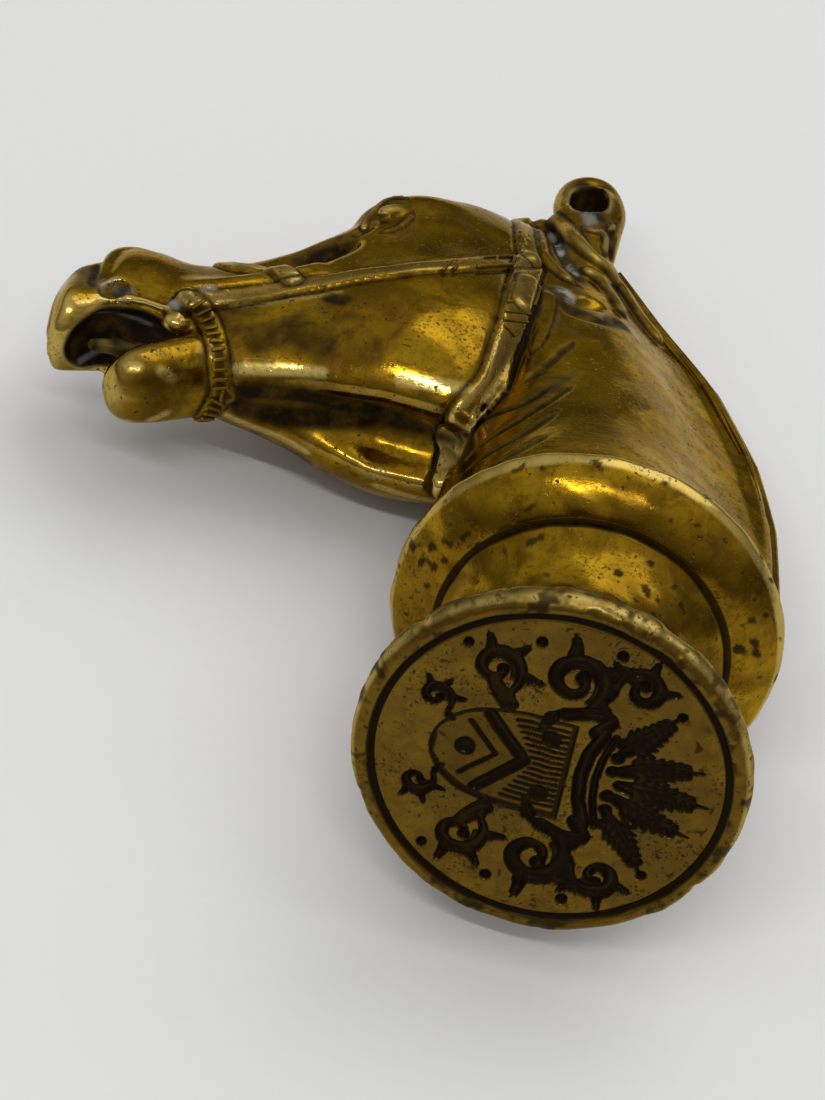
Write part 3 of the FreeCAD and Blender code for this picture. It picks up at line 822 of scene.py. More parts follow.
def casting_block(name, mould, sizes, pitch):
    """One block of the casting: its points in millimetres, its faces, and how hollow the skin is there."""
    low, high = block_bounds[name]
    clay = Clay(low, high, pitch)
    rough_out(clay)
    dress(clay, mould, sizes)
    solid = np.clip(0.5 - clay.field / pitch, 0, 1)
    below_collar = handle_seat - clay.axes[2][None, None, :]
    field = np.maximum(np.maximum(clay.field, seam(clay, name == "horse_head")), below_collar)
    whole = np.concatenate((field[:, :0:-1], field), axis=1)
    points, faces = skin_net(whole)
    points = relaxed(points, faces, 3)
    points[:, 1] -= field.shape[1] - 1
    points = points * pitch + clay.low * (1, 0, 1)
    hollows = {}
    keep = clay.field
    for label, reach in (("hollow_fine", 0.45), ("hollow_wide", 1.3)):
        clay.field = blurred(solid, max(1, round(reach / 2 / pitch)))
        hollows[label] = clay.sample(points) * 2 - 1
    clay.field = keep
    return clay, points, faces, hollows


class Board:
    """A square of the die's face, on which depths are engraved in millimetres."""

    def __init__(self, half, cells):
        self.half = half
        self.axis = np.linspace(-half, half, cells)
        self.step = self.axis[1] - self.axis[0]
        self.depth = np.zeros((cells, cells))

    def window(self, low, high, margin):
        """The part of the board round a box: its slices and its open coordinates."""
        first = np.searchsorted(self.axis, np.array(low) - margin)
        last = np.searchsorted(self.axis, np.array(high) + margin)
        part = (slice(first[0], last[0]), slice(first[1], last[1]))
        return part, self.axis[part[0]][:, None], self.axis[part[1]][None, :]

    def stroke(self, points, widths, depth):
        """A round-bottomed cut along a path, as deep in its middle as asked, and tapered with its width."""
        points = np.array(points, float)
        widths = np.broadcast_to(widths, len(points))
        part, up, out = self.window(points.min(axis=0), points.max(axis=0), widths.max())
        deepest = self.depth[part]
        for a, b, first, last in zip(points, points[1:], widths, widths[1:]):
            link = b - a
            share = np.clip(((up - a[0]) * link[0] + (out - a[1]) * link[1]) / max(link @ link, 1e-9), 0, 1)
            away = np.hypot(up - a[0] - share * link[0], out - a[1] - share * link[1])
            width = np.maximum(first + (last - first) * share, 1e-3)
            bowl = np.sqrt(np.clip(1 - (away / width) ** 2, 0, 1))
            deepest = np.maximum(deepest, depth * bowl * np.minimum(1, width / widths.max() + 0.25))
        self.depth[part] = deepest

    def pellet(self, up, out, size, depth):
        """A small round hollow."""
        self.stroke(((up, out), (up, out + 0.01)), size, depth)

    def at(self, up, out):
        """The depth at places on the board."""
        up = np.clip((up + self.half) / self.step, 0, len(self.axis) - 1.001)
        out = np.clip((out + self.half) / self.step, 0, len(self.axis) - 1.001)
        a, b = up.astype(int), out.astype(int)
        u, v = up - a, out - b
        grid = self.depth
        return (grid[a, b] * (1 - u) * (1 - v) + grid[a + 1, b] * u * (1 - v)
                + grid[a, b + 1] * (1 - u) * v + grid[a + 1, b + 1] * u * v)


def spiral_points(centre, radius, first, last, count, growth):
    """Points along a spiral, between two angles in degrees, whose radius grows by a factor on the way."""
    share = np.linspace(0, 1, count)
    turn = np.radians(first + (last - first) * share)
    reach = radius * growth ** share
    return np.stack((centre[0] + reach * np.cos(turn), centre[1] + reach * np.sin(turn)), axis=1)


def leaf(board, root, angle, size, bend, depth, wide):
    """An acanthus leaf: a curved rib with lobes to both sides."""
    share = np.linspace(0, 1, 9)
    turn = np.radians(angle + bend * share)
    steps = np.stack((np.cos(turn), np.sin(turn)), axis=1) * size / 8
    rib = np.array(root) + np.concatenate((np.zeros((1, 2)), np.cumsum(steps[:-1], axis=0)))
    board.stroke(rib, size * 0.15 * wide * (1 - 0.85 * share) * (0.6 + share * (1 - share) * 2.2), depth)
    for k in range(1, 7):
        for hand in (-1, 1):
            lobe = np.radians(angle + bend * share[k] + hand * 50)
            long = size * (0.32 - 0.034 * k)
            tip = rib[k] + long * np.array((math.cos(lobe), math.sin(lobe)))
            board.stroke((rib[k], (rib[k] + tip) / 2, tip),
                         (size * 0.045 * wide, size * 0.085 * wide, size * 0.02), depth * 0.8)


def scroll(board, centre, radius, first, turns, depth, width):
    """A broad scroll that winds in to an eye, lined with a finer one, with leaves along its outer edge."""
    path = spiral_points(centre, radius, first, first + turns, 30, 0.24)
    board.stroke(path, width * np.interp(np.linspace(0, 1, len(path)), (0, 0.25, 1), (0.35, 1, 0.4)), depth)
    board.stroke((path[-1], path[-1] + 0.01), width * 0.75, depth * 1.1)
    inner = spiral_points(centre, radius - width * 1.5, first + turns * 0.1, first + turns * 0.5, 14, 0.6)
    board.stroke(inner, 0.13, depth * 0.5)
    hand = math.copysign(1, turns)
    for k in (0, 4, 8, 12):
        outward = path[k] - np.array(centre)
        angle = math.degrees(math.atan2(outward[1], outward[0]))
        leaf(board, path[k], angle - hand * 30, radius * 0.85, hand * 45, depth * 0.9, 1.1)


def shield_edge(board):
    """Signed distance outside the shield's outline, over the whole board."""
    half, top, shoulder, tip = 3.5, 1.1, -2.1, -7.3
    up, out = board.axis[:, None], np.abs(board.axis[None, :])
    share = np.clip((shoulder - up) / (shoulder - tip), 0, 1)
    side_half = half * np.sqrt(np.clip(1 - share ** 2.2, 0, 1))
    slope = 0.75 + 0.25 * (1 - share)
    return np.maximum(np.maximum((out - side_half) * slope, up - top), tip - up)


# Scrolls of the device: place up and out, radius, first angle, turns in degrees, share of the depth, width
scrolls = (
    (0.2, 6.5, 2.5, -100, 500, 1.0, 0.62), (4.3, 6.9, 1.7, 200, -470, 0.95, 0.5),
    (-4.5, 6.1, 1.9, -60, 430, 0.85, 0.5), (-7.6, 3.1, 1.2, -40, 400, 0.8, 0.34),
)

# Pellets of the device: place up and out, and size
pellets = ((-2.2, 8.7, 0.34), (2.6, 9.1, 0.36), (6.9, 5.9, 0.3), (-6.4, 7.5, 0.3))
board_cells = 560


def engraved_board(sizes, half):
    """The whole generic device: a shield with a chevron, a coronet, a spray of leaves, and scrolls."""
    board = Board(half, board_cells)
    depth = sizes.engraving_depth
    edge = shield_edge(board)
    ground = smooth_step(-edge / 0.3) * 0.36 * depth
    rim = smooth_step(1 - np.abs(edge + 0.12) / 0.2) * 0.35 * depth
    board.depth = ground + rim
    for line in np.arange(-2.8, 2.9, 0.4):
        board.stroke(((0.7, line), (-1.0 - 0.55 * abs(line), line)), 0.07, depth * 0.62)
    for hand in (-1, 1):
        board.stroke(((-1.6, 0), (-4.1, hand * 2.7)), 0.42, depth)
        board.stroke(((-3.3, 0), (-5.2, hand * 1.9)), 0.14, depth * 0.7)
        board.stroke(((-0.3, hand * 2.0), (-0.3, hand * 2.01)), 0.62, depth)
        board.stroke(((1.9, 0), (2.1, hand * 1.7), (2.7, hand * 3.3)), 0.42, depth)
        board.stroke(((2.8, 0), (2.95, hand * 1.5), (3.4, hand * 3.3)), 0.22, depth * 0.8)
        for k, reach in ((1, 0.9), (2, 1.9), (3, 3.0)):
            board.pellet(3.6 + 0.1 * k, hand * reach, 0.4, depth)
        leaf(board, (4.2, hand * 1.0), hand * 22, 5.0, -hand * 14, depth, 0.8)
        leaf(board, (4.0, hand * 2.3), hand * 48, 4.6, hand * 10, depth, 0.8)
        for up, out, radius, first, turns, share, width in scrolls:
            scroll(board, (up, hand * out), radius, hand * first, hand * turns, depth * share, width)
        ribbon = ((2.2, hand * 3.3), (2.9, hand * 4.3), (1.8, hand * 4.6), (0.2, hand * 4.1))
        board.stroke(smooth_rows(ribbon, 6), 0.45, depth)
        leaf(board, (-3.0, hand * 3.9), hand * 150, 2.6, -hand * 40, depth * 0.8, 1.5)
        for up, out, size in pellets:
            board.pellet(up, hand * out, size, depth * 0.9)
    leaf(board, (4.3, 0), 0, 5.4, 0, depth, 0.8)
    board.pellet(-5.2, 0, 0.66, depth)
    return board


def disc_grid(half_cells):
    """A disc of four-cornered faces, evenly spaced on its edge: unit points, faces and the edge's loop."""
    side_cells = 2 * half_cells
    step = np.linspace(-1, 1, side_cells + 1)
    a, b = np.meshgrid(step, step, indexing="ij")
    wide = np.abs(a) >= np.abs(b)
    reach = np.where(wide, a, b)
    with np.errstate(divide="ignore", invalid="ignore"):
        turn = np.where(wide, math.pi / 4 * b / a, math.pi / 2 - math.pi / 4 * a / b)
    turn = np.where(reach == 0, 0, turn)
    points = np.stack((reach * np.cos(turn), reach * np.sin(turn)), axis=-1).reshape(-1, 2)
    index = np.arange((side_cells + 1) ** 2).reshape(side_cells + 1, side_cells + 1)
    faces = np.stack((index[:-1, :-1], index[1:, :-1], index[1:, 1:], index[:-1, 1:]), axis=-1)
    faces = faces.reshape(-1, 4)
    loop = np.concatenate((index[-1, :-1], index[:0:-1, -1], index[0, :0:-1], index[:-1, 0]))
    return points, faces, loop


def profile_rows(corners, spacing):
    """Close-set rows along an outline of (radius, level) corners, with the corners rounded off."""
    rows = np.array(corners, float)
    for _ in range(2):
        ahead = rows[1:] - rows[:-1]
        cut = np.minimum(0.25, 0.3 / np.maximum(np.linalg.norm(ahead, axis=1), 1e-9))[:, None]
        pairs = np.stack((rows[:-1] + ahead * cut, rows[1:] - ahead * cut), axis=1).reshape(-1, 2)
        rows = np.concatenate((rows[:1], pairs, rows[-1:]))
    run = run_along(rows)
    count = int(run[-1] / spacing) + 2
    steps = np.linspace(0, run[-1], count)
    return np.stack([np.interp(steps, run, rows[:, k]) for k in range(2)], axis=1)


def lathe(rows, turns):
    """Points round the axis for each row, at the given turns, with their outward directions."""
    along = np.gradient(rows, axis=0)
    out = np.stack((along[:, 1], -along[:, 0]), axis=1)
    out /= np.maximum(np.linalg.norm(out, axis=1), 1e-9)[:, None]
    ring = np.stack((np.cos(turns), np.sin(turns)), axis=1)
    spread = [np.concatenate((part[:, None, :1] * ring[None],
                              np.broadcast_to(part[:, None, 1:], (len(rows), len(turns), 1))), axis=2)
              for part in (rows, out)]
    return spread[0], spread[1]


def axis_reach(points):
    """How far points lie from the seal's axis."""
    return np.hypot(points[..., 0], points[..., 1])


def tube_faces(row_count, turn_count, offset, closed=False):
    """Faces between rows of a lathe's points, and between the last and the first where it is closed."""
    index = offset + np.arange(row_count * turn_count).reshape(row_count, turn_count)
    if closed:
        index = np.concatenate((index, index[:1]))
    ahead = np.roll(index, -1, axis=1)
    return np.stack((index[:-1], ahead[:-1], ahead[1:], index[1:]), axis=-1).reshape(-1, 4)


def outward(points, faces):
    """Faces turned so that they point out of the closed form."""
    a, b, c, d = (points[faces[:, k]] for k in range(4))
    volume = np.sum(np.cross(b - a, c - a) * (a + b + c) + np.cross(c - a, d - a) * (a + c + d))
    return faces if volume > 0 else faces[:, ::-1]


# Materials

def linear(colour):
    """A colour property as four numbers."""
    return (colour[0], colour[1], colour[2], 1.0)


class Finish:
    """A material's node tree, with short ways to add what the brass finishes need."""

    def __init__(self, name):
        self.material = bpy.data.materials.new(name)
        self.material.use_nodes = True
        self.tree = self.material.node_tree
        self.tree.nodes.clear()
        self.place = self.node("ShaderNodeTexCoord").outputs["Object"]

    @classmethod
    def for_tree(cls, tree):
        """The same short ways, for a tree that stands already."""
        finish = cls.__new__(cls)
        finish.tree = tree
        return finish

    def node(self, kind, feeds=(), **settings):
        """A node with its settings, and with its named or numbered inputs fed."""
        node = self.tree.nodes.new(kind)
        for name, value in settings.items():
            setattr(node, name, value)
        for name, value in dict(feeds).items():
            self.feed(node.inputs[name], value)
        return node

    def feed(self, socket, value):
        """Link a value's socket, or set the number or colour itself."""
        if isinstance(value, bpy.types.NodeSocket):
            self.tree.links.new(value, socket)
        else:
            socket.default_value = value

    def noise(self, size, detail, roughness, distortion=0.0, stretch=None):
        """Noise whose swells are about a size in millimetres."""
        place = self.place
        if stretch:
            place = self.node("ShaderNodeMapping", {
                "Vector": place, "Scale": stretch, "Rotation": (0.4, 0.9, 0.3)}).outputs["Vector"]
        return self.node("ShaderNodeTexNoise", {
            "Vector": place, "Scale": 1 / (size * MM), "Detail": detail, "Roughness": roughness,
            "Distortion": distortion}).outputs["Fac"]

    def ramp(self, value, low, high, start=0.0, end=1.0):
        """A value taken from low and high to start and end, with soft ends."""
        return self.node("ShaderNodeMapRange", {
            "Value": value, "From Min": low, "From Max": high, "To Min": start, "To Max": end},
            interpolation_type="SMOOTHSTEP").outputs["Result"]

    def math(self, operation, first, second):
        return self.node("ShaderNodeMath", {0: first, 1: second}, operation=operation).outputs[0]

    def times(self, first, second):
        return self.math("MULTIPLY", first, second)

    def less(self, first, second):
        return self.math("SUBTRACT", first, second)

    def plus(self, first, second):
        return self.math("ADD", first, second)

    def most(self, *values):
        """The greatest of several values."""
        return reduce(lambda first, second: self.math("MAXIMUM", first, second), values)

    def mix(self, share, first, second, kind="Color"):
        """Two colours or two numbers, mixed by a share."""
        node = self.node("ShaderNodeMix", data_type="RGBA" if kind == "Color" else "FLOAT")
        feeds = {"Factor_Float": share, "A_" + kind: first, "B_" + kind: second}
        for socket in node.inputs:
            if socket.identifier in feeds:
                self.feed(socket, feeds[socket.identifier])
        return next(socket for socket in node.outputs if socket.identifier == "Result_" + kind)

    def attribute(self, name):
        return self.node("ShaderNodeAttribute", attribute_name=name).outputs["Fac"]

    def finish(self, colour, metallic, roughness, height, strength, gloss=()):
        """The surface shader, with bump from a height in millimetres."""
        bump = self.node("ShaderNodeBump", {"Strength": strength, "Distance": MM, "Height": height})
        shader = self.node("ShaderNodeBsdfPrincipled", {
            "Base Color": colour, "Metallic": metallic, "Roughness": roughness,
            "Normal": bump.outputs["Normal"]} | dict(gloss))
        self.node("ShaderNodeOutputMaterial", {"Surface": shader.outputs["BSDF"]})
        return self.material


# The sheen of handled brass, how rough its rubbed lines and painted highlights are, and how rough its dirt
# and painted shade are
metal_gloss = {"Specular Tint": (0.86, 0.74, 0.50, 1), "Specular IOR Level": 0.04, "Coat Weight": 0.025,
               "Coat Roughness": 0.05}
rubbed_roughness = 0.09
dirt_roughness = 0.55


def brass(name, colours, film, patina_low, patina_high, polish, speckle):
    """Aged brass: mottled gold and olive, dark patina and painted shade in its hollows, bright worn edges,
    painted highlights and small pits.
    """
    finish = Finish(name)
    wide = finish.noise(7.0, 3, 0.6, 0.4)
    mottle = finish.noise(1.6, 5, 0.62)
    fine = finish.noise(0.35, 4, 0.6)
    gold = linear(colours.polished)
    for share, layer in (
            (finish.ramp(wide, 0.35, 0.68), colours.olive),
            (finish.ramp(mottle, 0.42, 0.68, 0.0, 0.7), colours.olive),
            (finish.ramp(fine, 0.5, 0.7, 0.0, 0.45), colours.olive),
            (finish.ramp(finish.noise(4.0, 2, 0.5), 0.6, 0.85, 0.0, 0.3), colours.pale),
            (finish.ramp(finish.noise(2.4, 6, 0.7, 0.6), 0.48, 0.64, 0.0, 0.6), colours.stain),
            (finish.times(finish.attribute("strap"), 0.5), colours.pale),
            (film, colours.field)):
        gold = finish.mix(share, gold, linear(layer))
    hollow_fine = finish.attribute("hollow_fine")
    hollow = finish.plus(hollow_fine, finish.times(finish.attribute("hollow_wide"), 0.9))
    uneven = finish.times(finish.less(mottle, 0.5), 0.35)
    # Dark patina in the hollows, plus dirt and painted shade from the listed dark patches and the straps'
    # feet
    patina_and_shade = finish.most(
        finish.ramp(finish.plus(hollow, uneven), patina_low, patina_high),
        finish.ramp(hollow_fine, 0.06, 0.28, 0.0, 0.9),
        finish.times(finish.attribute("dirt_and_shade"), finish.ramp(mottle, 0.2, 0.6, 0.75, 1.0)))
    specks = finish.most(
        finish.ramp(finish.noise(0.9, 3, 0.55, 0.6), 0.74 - 0.12 * speckle, 0.78 - 0.08 * speckle,
                    0.0, 0.75 * speckle),
        finish.times(finish.ramp(finish.noise(0.2, 2, 0.5), 0.56, 0.64, 0.0, 0.8),
                     finish.ramp(finish.noise(3.4, 3, 0.6), 0.47, 0.62, 0.05, speckle)))
    pits = finish.ramp(finish.noise(0.42, 1, 0.4), 0.70, 0.78)
    # Rubbed metal and painted highlights, paler and smoother
    rub_and_highlight = finish.times(finish.attribute("rub_and_highlight"), finish.ramp(fine, 0.3, 0.6, 0.55, 1.0))
    edges = finish.ramp(finish.less(uneven, hollow), 0.2, 0.6, 0.0, 0.75)
    gold = finish.mix(finish.most(edges, rub_and_highlight), gold, linear(colours.worn_and_highlight))
    dark = finish.most(patina_and_shade, specks, finish.times(pits, 0.7))
    residue = finish.times(finish.attribute("residue"), finish.ramp(mottle, 0.38, 0.6))
    colour = finish.mix(dark, gold, linear(colours.patina_and_shade))
    colour = finish.mix(residue, colour, linear(colours.residue))
    metallic = finish.times(finish.less(1.0, finish.times(dark, 0.92)), finish.less(1.0, residue))
    rough = finish.ramp(mottle, 0.35, 0.75, polish, polish + 0.16)
    rough = finish.mix(rub_and_highlight, rough, rubbed_roughness, "Float")
    rough = finish.mix(finish.most(dark, residue), rough, dirt_roughness, "Float")
    scratches = finish.noise(0.12, 2, 0.5, 0.0, (0.12, 1.0, 1.0))
    height = finish.times(fine, 0.010)
    for part, swell in ((mottle, 0.030), (scratches, 0.003), (pits, -0.05)):
        height = finish.plus(height, finish.times(part, swell))
    return finish.finish(colour, metallic, rough, height, 0.8, metal_gloss)


# Settings that a user would change

def length(name, description, millimetres):
    """A length property, typed here in millimetres."""
    return bpy.props.FloatProperty(name=name, description=description, default=millimetres * MM,
                                   unit="LENGTH", subtype="DISTANCE", precision=5)


def colour(name, description, red, green, blue):
    """A colour property."""
    return bpy.props.FloatVectorProperty(name=name, description=description, default=(red, green, blue),
                                         subtype="COLOR", size=3, min=0.0, max=1.0)


def in_millimetres(group):
    """A settings group's lengths, in millimetres, under their own names."""
    return SimpleNamespace(**{name: getattr(group, name) / MM for name in group.__annotations__})


class SealHandleSettings(bpy.types.PropertyGroup):
    strap_width: length("Strap width", "Width of the bridle's straps", 1.45)
    strap_rise: length("Strap rise", "How far the straps stand out of the head", 0.24)
    curb_width: length("Curb width", "Width of the laddered strap round the chin", 1.25)
    rung_pitch: length("Rung pitch", "Distance between the rungs of the laddered strap", 0.58)
    rung_thickness: length("Rung thickness", "Thickness of a rung along the strap", 0.24)
    bar_height: length("Bar height", "Height of the chased rungs and bars, half of it sunk", 0.28)
    strand_thickness: length("Strand thickness", "Thickness of the mane's strands", 0.42)
    head_grid: length("Head grid", "Fineness of the head's mesh", 0.185)
    neck_grid: length("Neck grid", "Fineness of the neck's mesh", 0.21)


class SealFootSettings(bpy.types.PropertyGroup):
    die_diameter: length("Die diameter", "Diameter of the die's rim band", 24.2)
    rim_face_width: length("Rim face width", "Width of the bright band round the engraved field", 1.1)
    ring_groove_width: length("Ring groove width", "Width of the groove inside the rim band", 0.5)
    ring_groove_depth: length("Ring groove depth", "Depth of the groove inside the rim band", 0.35)
    engraving_depth: length("Engraving depth", "Greatest depth of the engraved device", 0.5)
    collar_diameter: length("Collar diameter", "Diameter of the flared collar", 24.2)
    stem_foot: length("Stem foot", "Diameter of the stem at the die", 19.0)
    stem_waist: length("Stem waist", "Diameter of the stem at its waist", 14.4)
    stem_head: length("Stem head", "Diameter of the stem at the collar", 18.2)


class SealFinishSettings(bpy.types.PropertyGroup):
    polished: colour("Polished brass", "Brass where hands have kept it bright", 0.37, 0.215, 0.008)
    olive: colour("Olive brass", "Brass under a thin brown film", 0.145, 0.074, 0.004)
    pale: colour("Pale brass", "Brass with a paler cast", 0.38, 0.27, 0.08)
    # Also the colour of the painted highlights laid with the rubs
    worn_and_highlight: colour("Worn edge", "Bare metal on worn edges", 0.66, 0.49, 0.14)
    stain: colour("Stain", "Brown stains scattered over the brass", 0.085, 0.040, 0.003)
    field: colour("Die field", "The brown film on the engraved field", 0.105, 0.062, 0.011)
    # Also the colour of the painted shade in the mouth, ear hole, grooves and at the straps' feet
    patina_and_shade: colour("Patina", "Dark patina in the hollows", 0.010, 0.0055, 0.0015)
    residue: colour("Residue", "Grey polish left in the recesses", 0.28, 0.28, 0.26)
    floor: colour("Table", "The pale table", 0.86, 0.86, 0.855)


# Finishes: the film's share, where patina starts and is full, least roughness, and how speckled each is
finishes = {
    "cast brass": (0.0, 0.16, 0.5, 0.115, 0.7),
    "turned brass": (0.0, 0.22, 0.62, 0.14, 0.65),
    "die brass": (0.75, 0.10, 0.45, 0.25, 0.95),
    "stud brass": (0.1, 0.25, 0.7, 0.30, 0.2),
}


def brass_finish(context, name):
    """One of the seal's finishes, made once and shared by its pieces."""
    return bpy.data.materials.get(name) or brass(name, context.scene.seal_finish, *finishes[name])


casting_seed, rung_seed, die_seed, collar_seed, stem_seed = 11, 5, 23, 31, 37
disc_half_cells, quick_disc_half_cells = 102, 70
ring_turns, quick_ring_turns = 400, 240
die_spacing, ring_spacing = 0.24, 0.16


class SEAL_OT_casting(bpy.types.Operator):
    """Sculpt the horse's head and neck with their bridle"""
    bl_idname = "seal.casting"
    bl_label = "Horse's head casting"

    def execute(self, context):
        sizes = in_millimetres(context.scene.seal_handle)
        material = brass_finish(context, "cast brass")
        mould = bare_mould()
        marks = Marks(casting_seed)
        for name, pitch in (("horse_head", sizes.head_grid), ("horse_neck", sizes.neck_grid)):
            clay, points, faces, hollows = casting_block(name, mould, sizes, pitch)
            uneven = 0.035 * marks.at(points, 9.0) + 0.012 * marks.at(points, 3.2)
            points = points + clay.slope(points) * uneven[:, None]
            hollows["residue"] = patch_share(points, mould, grey_deposits)
            # Rubbed metal and painted highlights
            hollows["rub_and_highlight"] = patch_share(points, mould, rubs_and_highlights)
            hollows["strap"] = strap_faces(points, mould, sizes)
            # Dirt, and painted shade in the mouth, ear hole, grooves, jaw channel and at the straps' feet
            hollows["dirt_and_shade"] = np.maximum(patch_share(points, mould, dark_stains_and_shade),
                                          crevice_dirt_and_shade(points, mould, sizes))
            mesh_piece(name, points, faces.tolist(), hollows, material, "horse_head_handle")
        return {"FINISHED"}


def named_group(name, inputs):
    """An empty Geometry Nodes tree with named inputs, what they give, and a way to add linked nodes."""
    tree = bpy.data.node_groups.new(name, "GeometryNodeTree")
    tree.interface.new_socket("Geometry", in_out="INPUT", socket_type="NodeSocketGeometry")
    for label, kind in inputs:
        tree.interface.new_socket(label, in_out="INPUT", socket_type=kind)
    tree.interface.new_socket("Geometry", in_out="OUTPUT", socket_type="NodeSocketGeometry")
    return tree, tree.nodes.new("NodeGroupInput").outputs, Finish.for_tree(tree).node


def close_group(add, shape, material):
    """The end of a tree: real geometry, smooth, in its material."""
    real = add("GeometryNodeRealizeInstances", {"Geometry": shape}).outputs["Geometry"]
    smooth = add("GeometryNodeSetShadeSmooth", {"Geometry": real}).outputs["Geometry"]
    coated = add("GeometryNodeSetMaterial", {"Geometry": smooth, "Material": material}).outputs["Geometry"]
    add("NodeGroupOutput", {"Geometry": coated})


def bars_tree():
    """Small rounded bars on points, each turned and sized by its point's own attributes."""
    tree, given, add = named_group("chased bars", (
        ("Height", "NodeSocketFloat"), ("Rounding", "NodeSocketFloat"), ("Material", "NodeSocketMaterial")))
    cube = add("GeometryNodeMeshCube").outputs["Mesh"]
    crease = add("ShaderNodeMath", {0: 1.0, 1: given["Rounding"]}, operation="SUBTRACT")
    soft = add("GeometryNodeSubdivisionSurface", {
        "Mesh": cube, "Level": 2, "Edge Crease": crease.outputs[0]})
    size = add("GeometryNodeInputNamedAttribute", {"Name": "bar_size"}, data_type="FLOAT_VECTOR")
    turn = add("GeometryNodeInputNamedAttribute", {"Name": "bar_turn"}, data_type="FLOAT_VECTOR")
    tall = add("ShaderNodeCombineXYZ", {"X": 1.0, "Y": 1.0, "Z": given["Height"]})
    scale = add("ShaderNodeVectorMath", {0: size.outputs["Attribute"], 1: tall.outputs["Vector"]},
                operation="MULTIPLY")
    set_out = add("GeometryNodeInstanceOnPoints", {
        "Points": given["Geometry"], "Instance": soft.outputs["Mesh"],
        "Rotation": turn.outputs["Attribute"], "Scale": scale.outputs["Vector"]})
    close_group(add, set_out.outputs["Instances"], given["Material"])
    return tree


def strands_tree():
    """Round strands along lines of edges, each as thick as its points' own attribute says."""
    tree, given, add = named_group("mane strands", (
        ("Thickness", "NodeSocketFloat"), ("Sides", "NodeSocketInt"), ("Material", "NodeSocketMaterial")))
    line = add("GeometryNodeMeshToCurve", {"Mesh": given["Geometry"]})
    half = add("ShaderNodeMath", {0: given["Thickness"], 1: 0.5}, operation="MULTIPLY")
    ring = add("GeometryNodeCurvePrimitiveCircle", {
        "Resolution": given["Sides"], "Radius": half.outputs[0]})
    full = add("GeometryNodeInputNamedAttribute", {"Name": "fullness"}, data_type="FLOAT")
    tube = add("GeometryNodeCurveToMesh", {
        "Curve": line.outputs["Curve"], "Profile Curve": ring.outputs["Curve"],
        "Scale": full.outputs["Attribute"], "Fill Caps": True})
    close_group(add, tube.outputs["Mesh"], given["Material"])
    return tree


def grown(name, points, edges, attributes, tree, inputs):
    """A piece of the casting that a node tree makes from points and edges in the seal's millimetres."""
    seed = bpy.data.meshes.new(name + "_seed")
    seed.from_pydata(laid(points).tolist(), edges, [])
    for label, (kind, field, values) in attributes.items():
        layer = seed.attributes.new(label, kind, "POINT")
        layer.data.foreach_set(field, np.asarray(values, np.float32).ravel())
    carrier = linked(name + "_seed", seed)
    modifier = carrier.modifiers.new("shape", "NODES")
    modifier.node_group = tree
    for item in tree.interface.items_tree:
        if item.in_out == "INPUT" and item.name in inputs:
            modifier[item.identifier] = inputs[item.name]
    made = bpy.data.meshes.new_from_object(carrier.evaluated_get(bpy.context.evaluated_depsgraph_get()))
    bpy.data.objects.remove(carrier)
    made.name = name
    if not made.polygons:
        raise RuntimeError(name + " came out empty")
    piece = linked(name, made)
    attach(piece, BODY)
    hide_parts("horse_head_handle")
    return piece


def bar_frames(mould, sizes):
    """Where each rung and bar stands: places, axes along, across and out, and sizes, for both sides."""
    places, frames, spans = [], [], []
    rng = np.random.default_rng(rung_seed)

    def put(middle, across, length, width):
        out = mould.clay.slope(middle)
        across = across - out * (across @ out)
        across /= np.linalg.norm(across)
        along = np.cross(across, out)
        for hand in (1.0, -1.0):
            flip = np.array((1.0, hand, 1.0))
            places.append((middle + out * sizes.strap_rise) * flip)
            frames.append((along * flip * hand, across * flip, out * flip))
            spans.append((width * MM, length * MM, MM))

    path = mould.lines["curb_strap"]
    run = run_along(path)
    for step in np.arange(sizes.rung_pitch, run[-1] - 0.3, sizes.rung_pitch):
        middle, ahead = (np.array([np.interp(place, run, path[:, k]) for k in range(3)])
                         for place in (step, step + 0.2))
        across = np.cross(mould.clay.slope(middle), (ahead - middle) / 0.2)
        put(middle + rng.normal(0, 0.02, 3), across + rng.normal(0, 0.07, 3),
            sizes.curb_width * rng.uniform(0.72, 0.88), sizes.rung_thickness * rng.uniform(0.8, 1.2))
    for first, last, width in strap_bars:
        ends = [mould.clay.seen(pixel) for pixel in (first, last)]
        put(sum(ends) / 2, ends[1] - ends[0], np.linalg.norm(ends[1] - ends[0]) + width, width)
    return places, frames, spans


class SEAL_OT_chasing(bpy.types.Operator):
    """Set the rungs, bars and buckles that are chased on the straps"""
    bl_idname = "seal.chasing"
    bl_label = "Chased bars"

    def execute(self, context):
        sizes = in_millimetres(context.scene.seal_handle)
        places, frames, spans = bar_frames(bare_mould(), sizes)
        turns = [Matrix((np.array(axes) @ seal_axes).T.tolist()).to_euler("XYZ") for axes in frames]
        attributes = {"bar_size": ("FLOAT_VECTOR", "vector", spans),
                      "bar_turn": ("FLOAT_VECTOR", "vector", turns)}
        material = brass_finish(context, "cast brass")
        piece = grown("chased_bars", places, [], attributes, bars_tree(),
                      {"Height": sizes.bar_height, "Rounding": 0.45, "Material": material})
        dirt_and_shade = piece.data.attributes.new("dirt_and_shade", "FLOAT", "POINT")
        dirt_and_shade.data.foreach_set("value", np.full(len(piece.data.vertices), 0.4, np.float32))
        return {"FINISHED"}


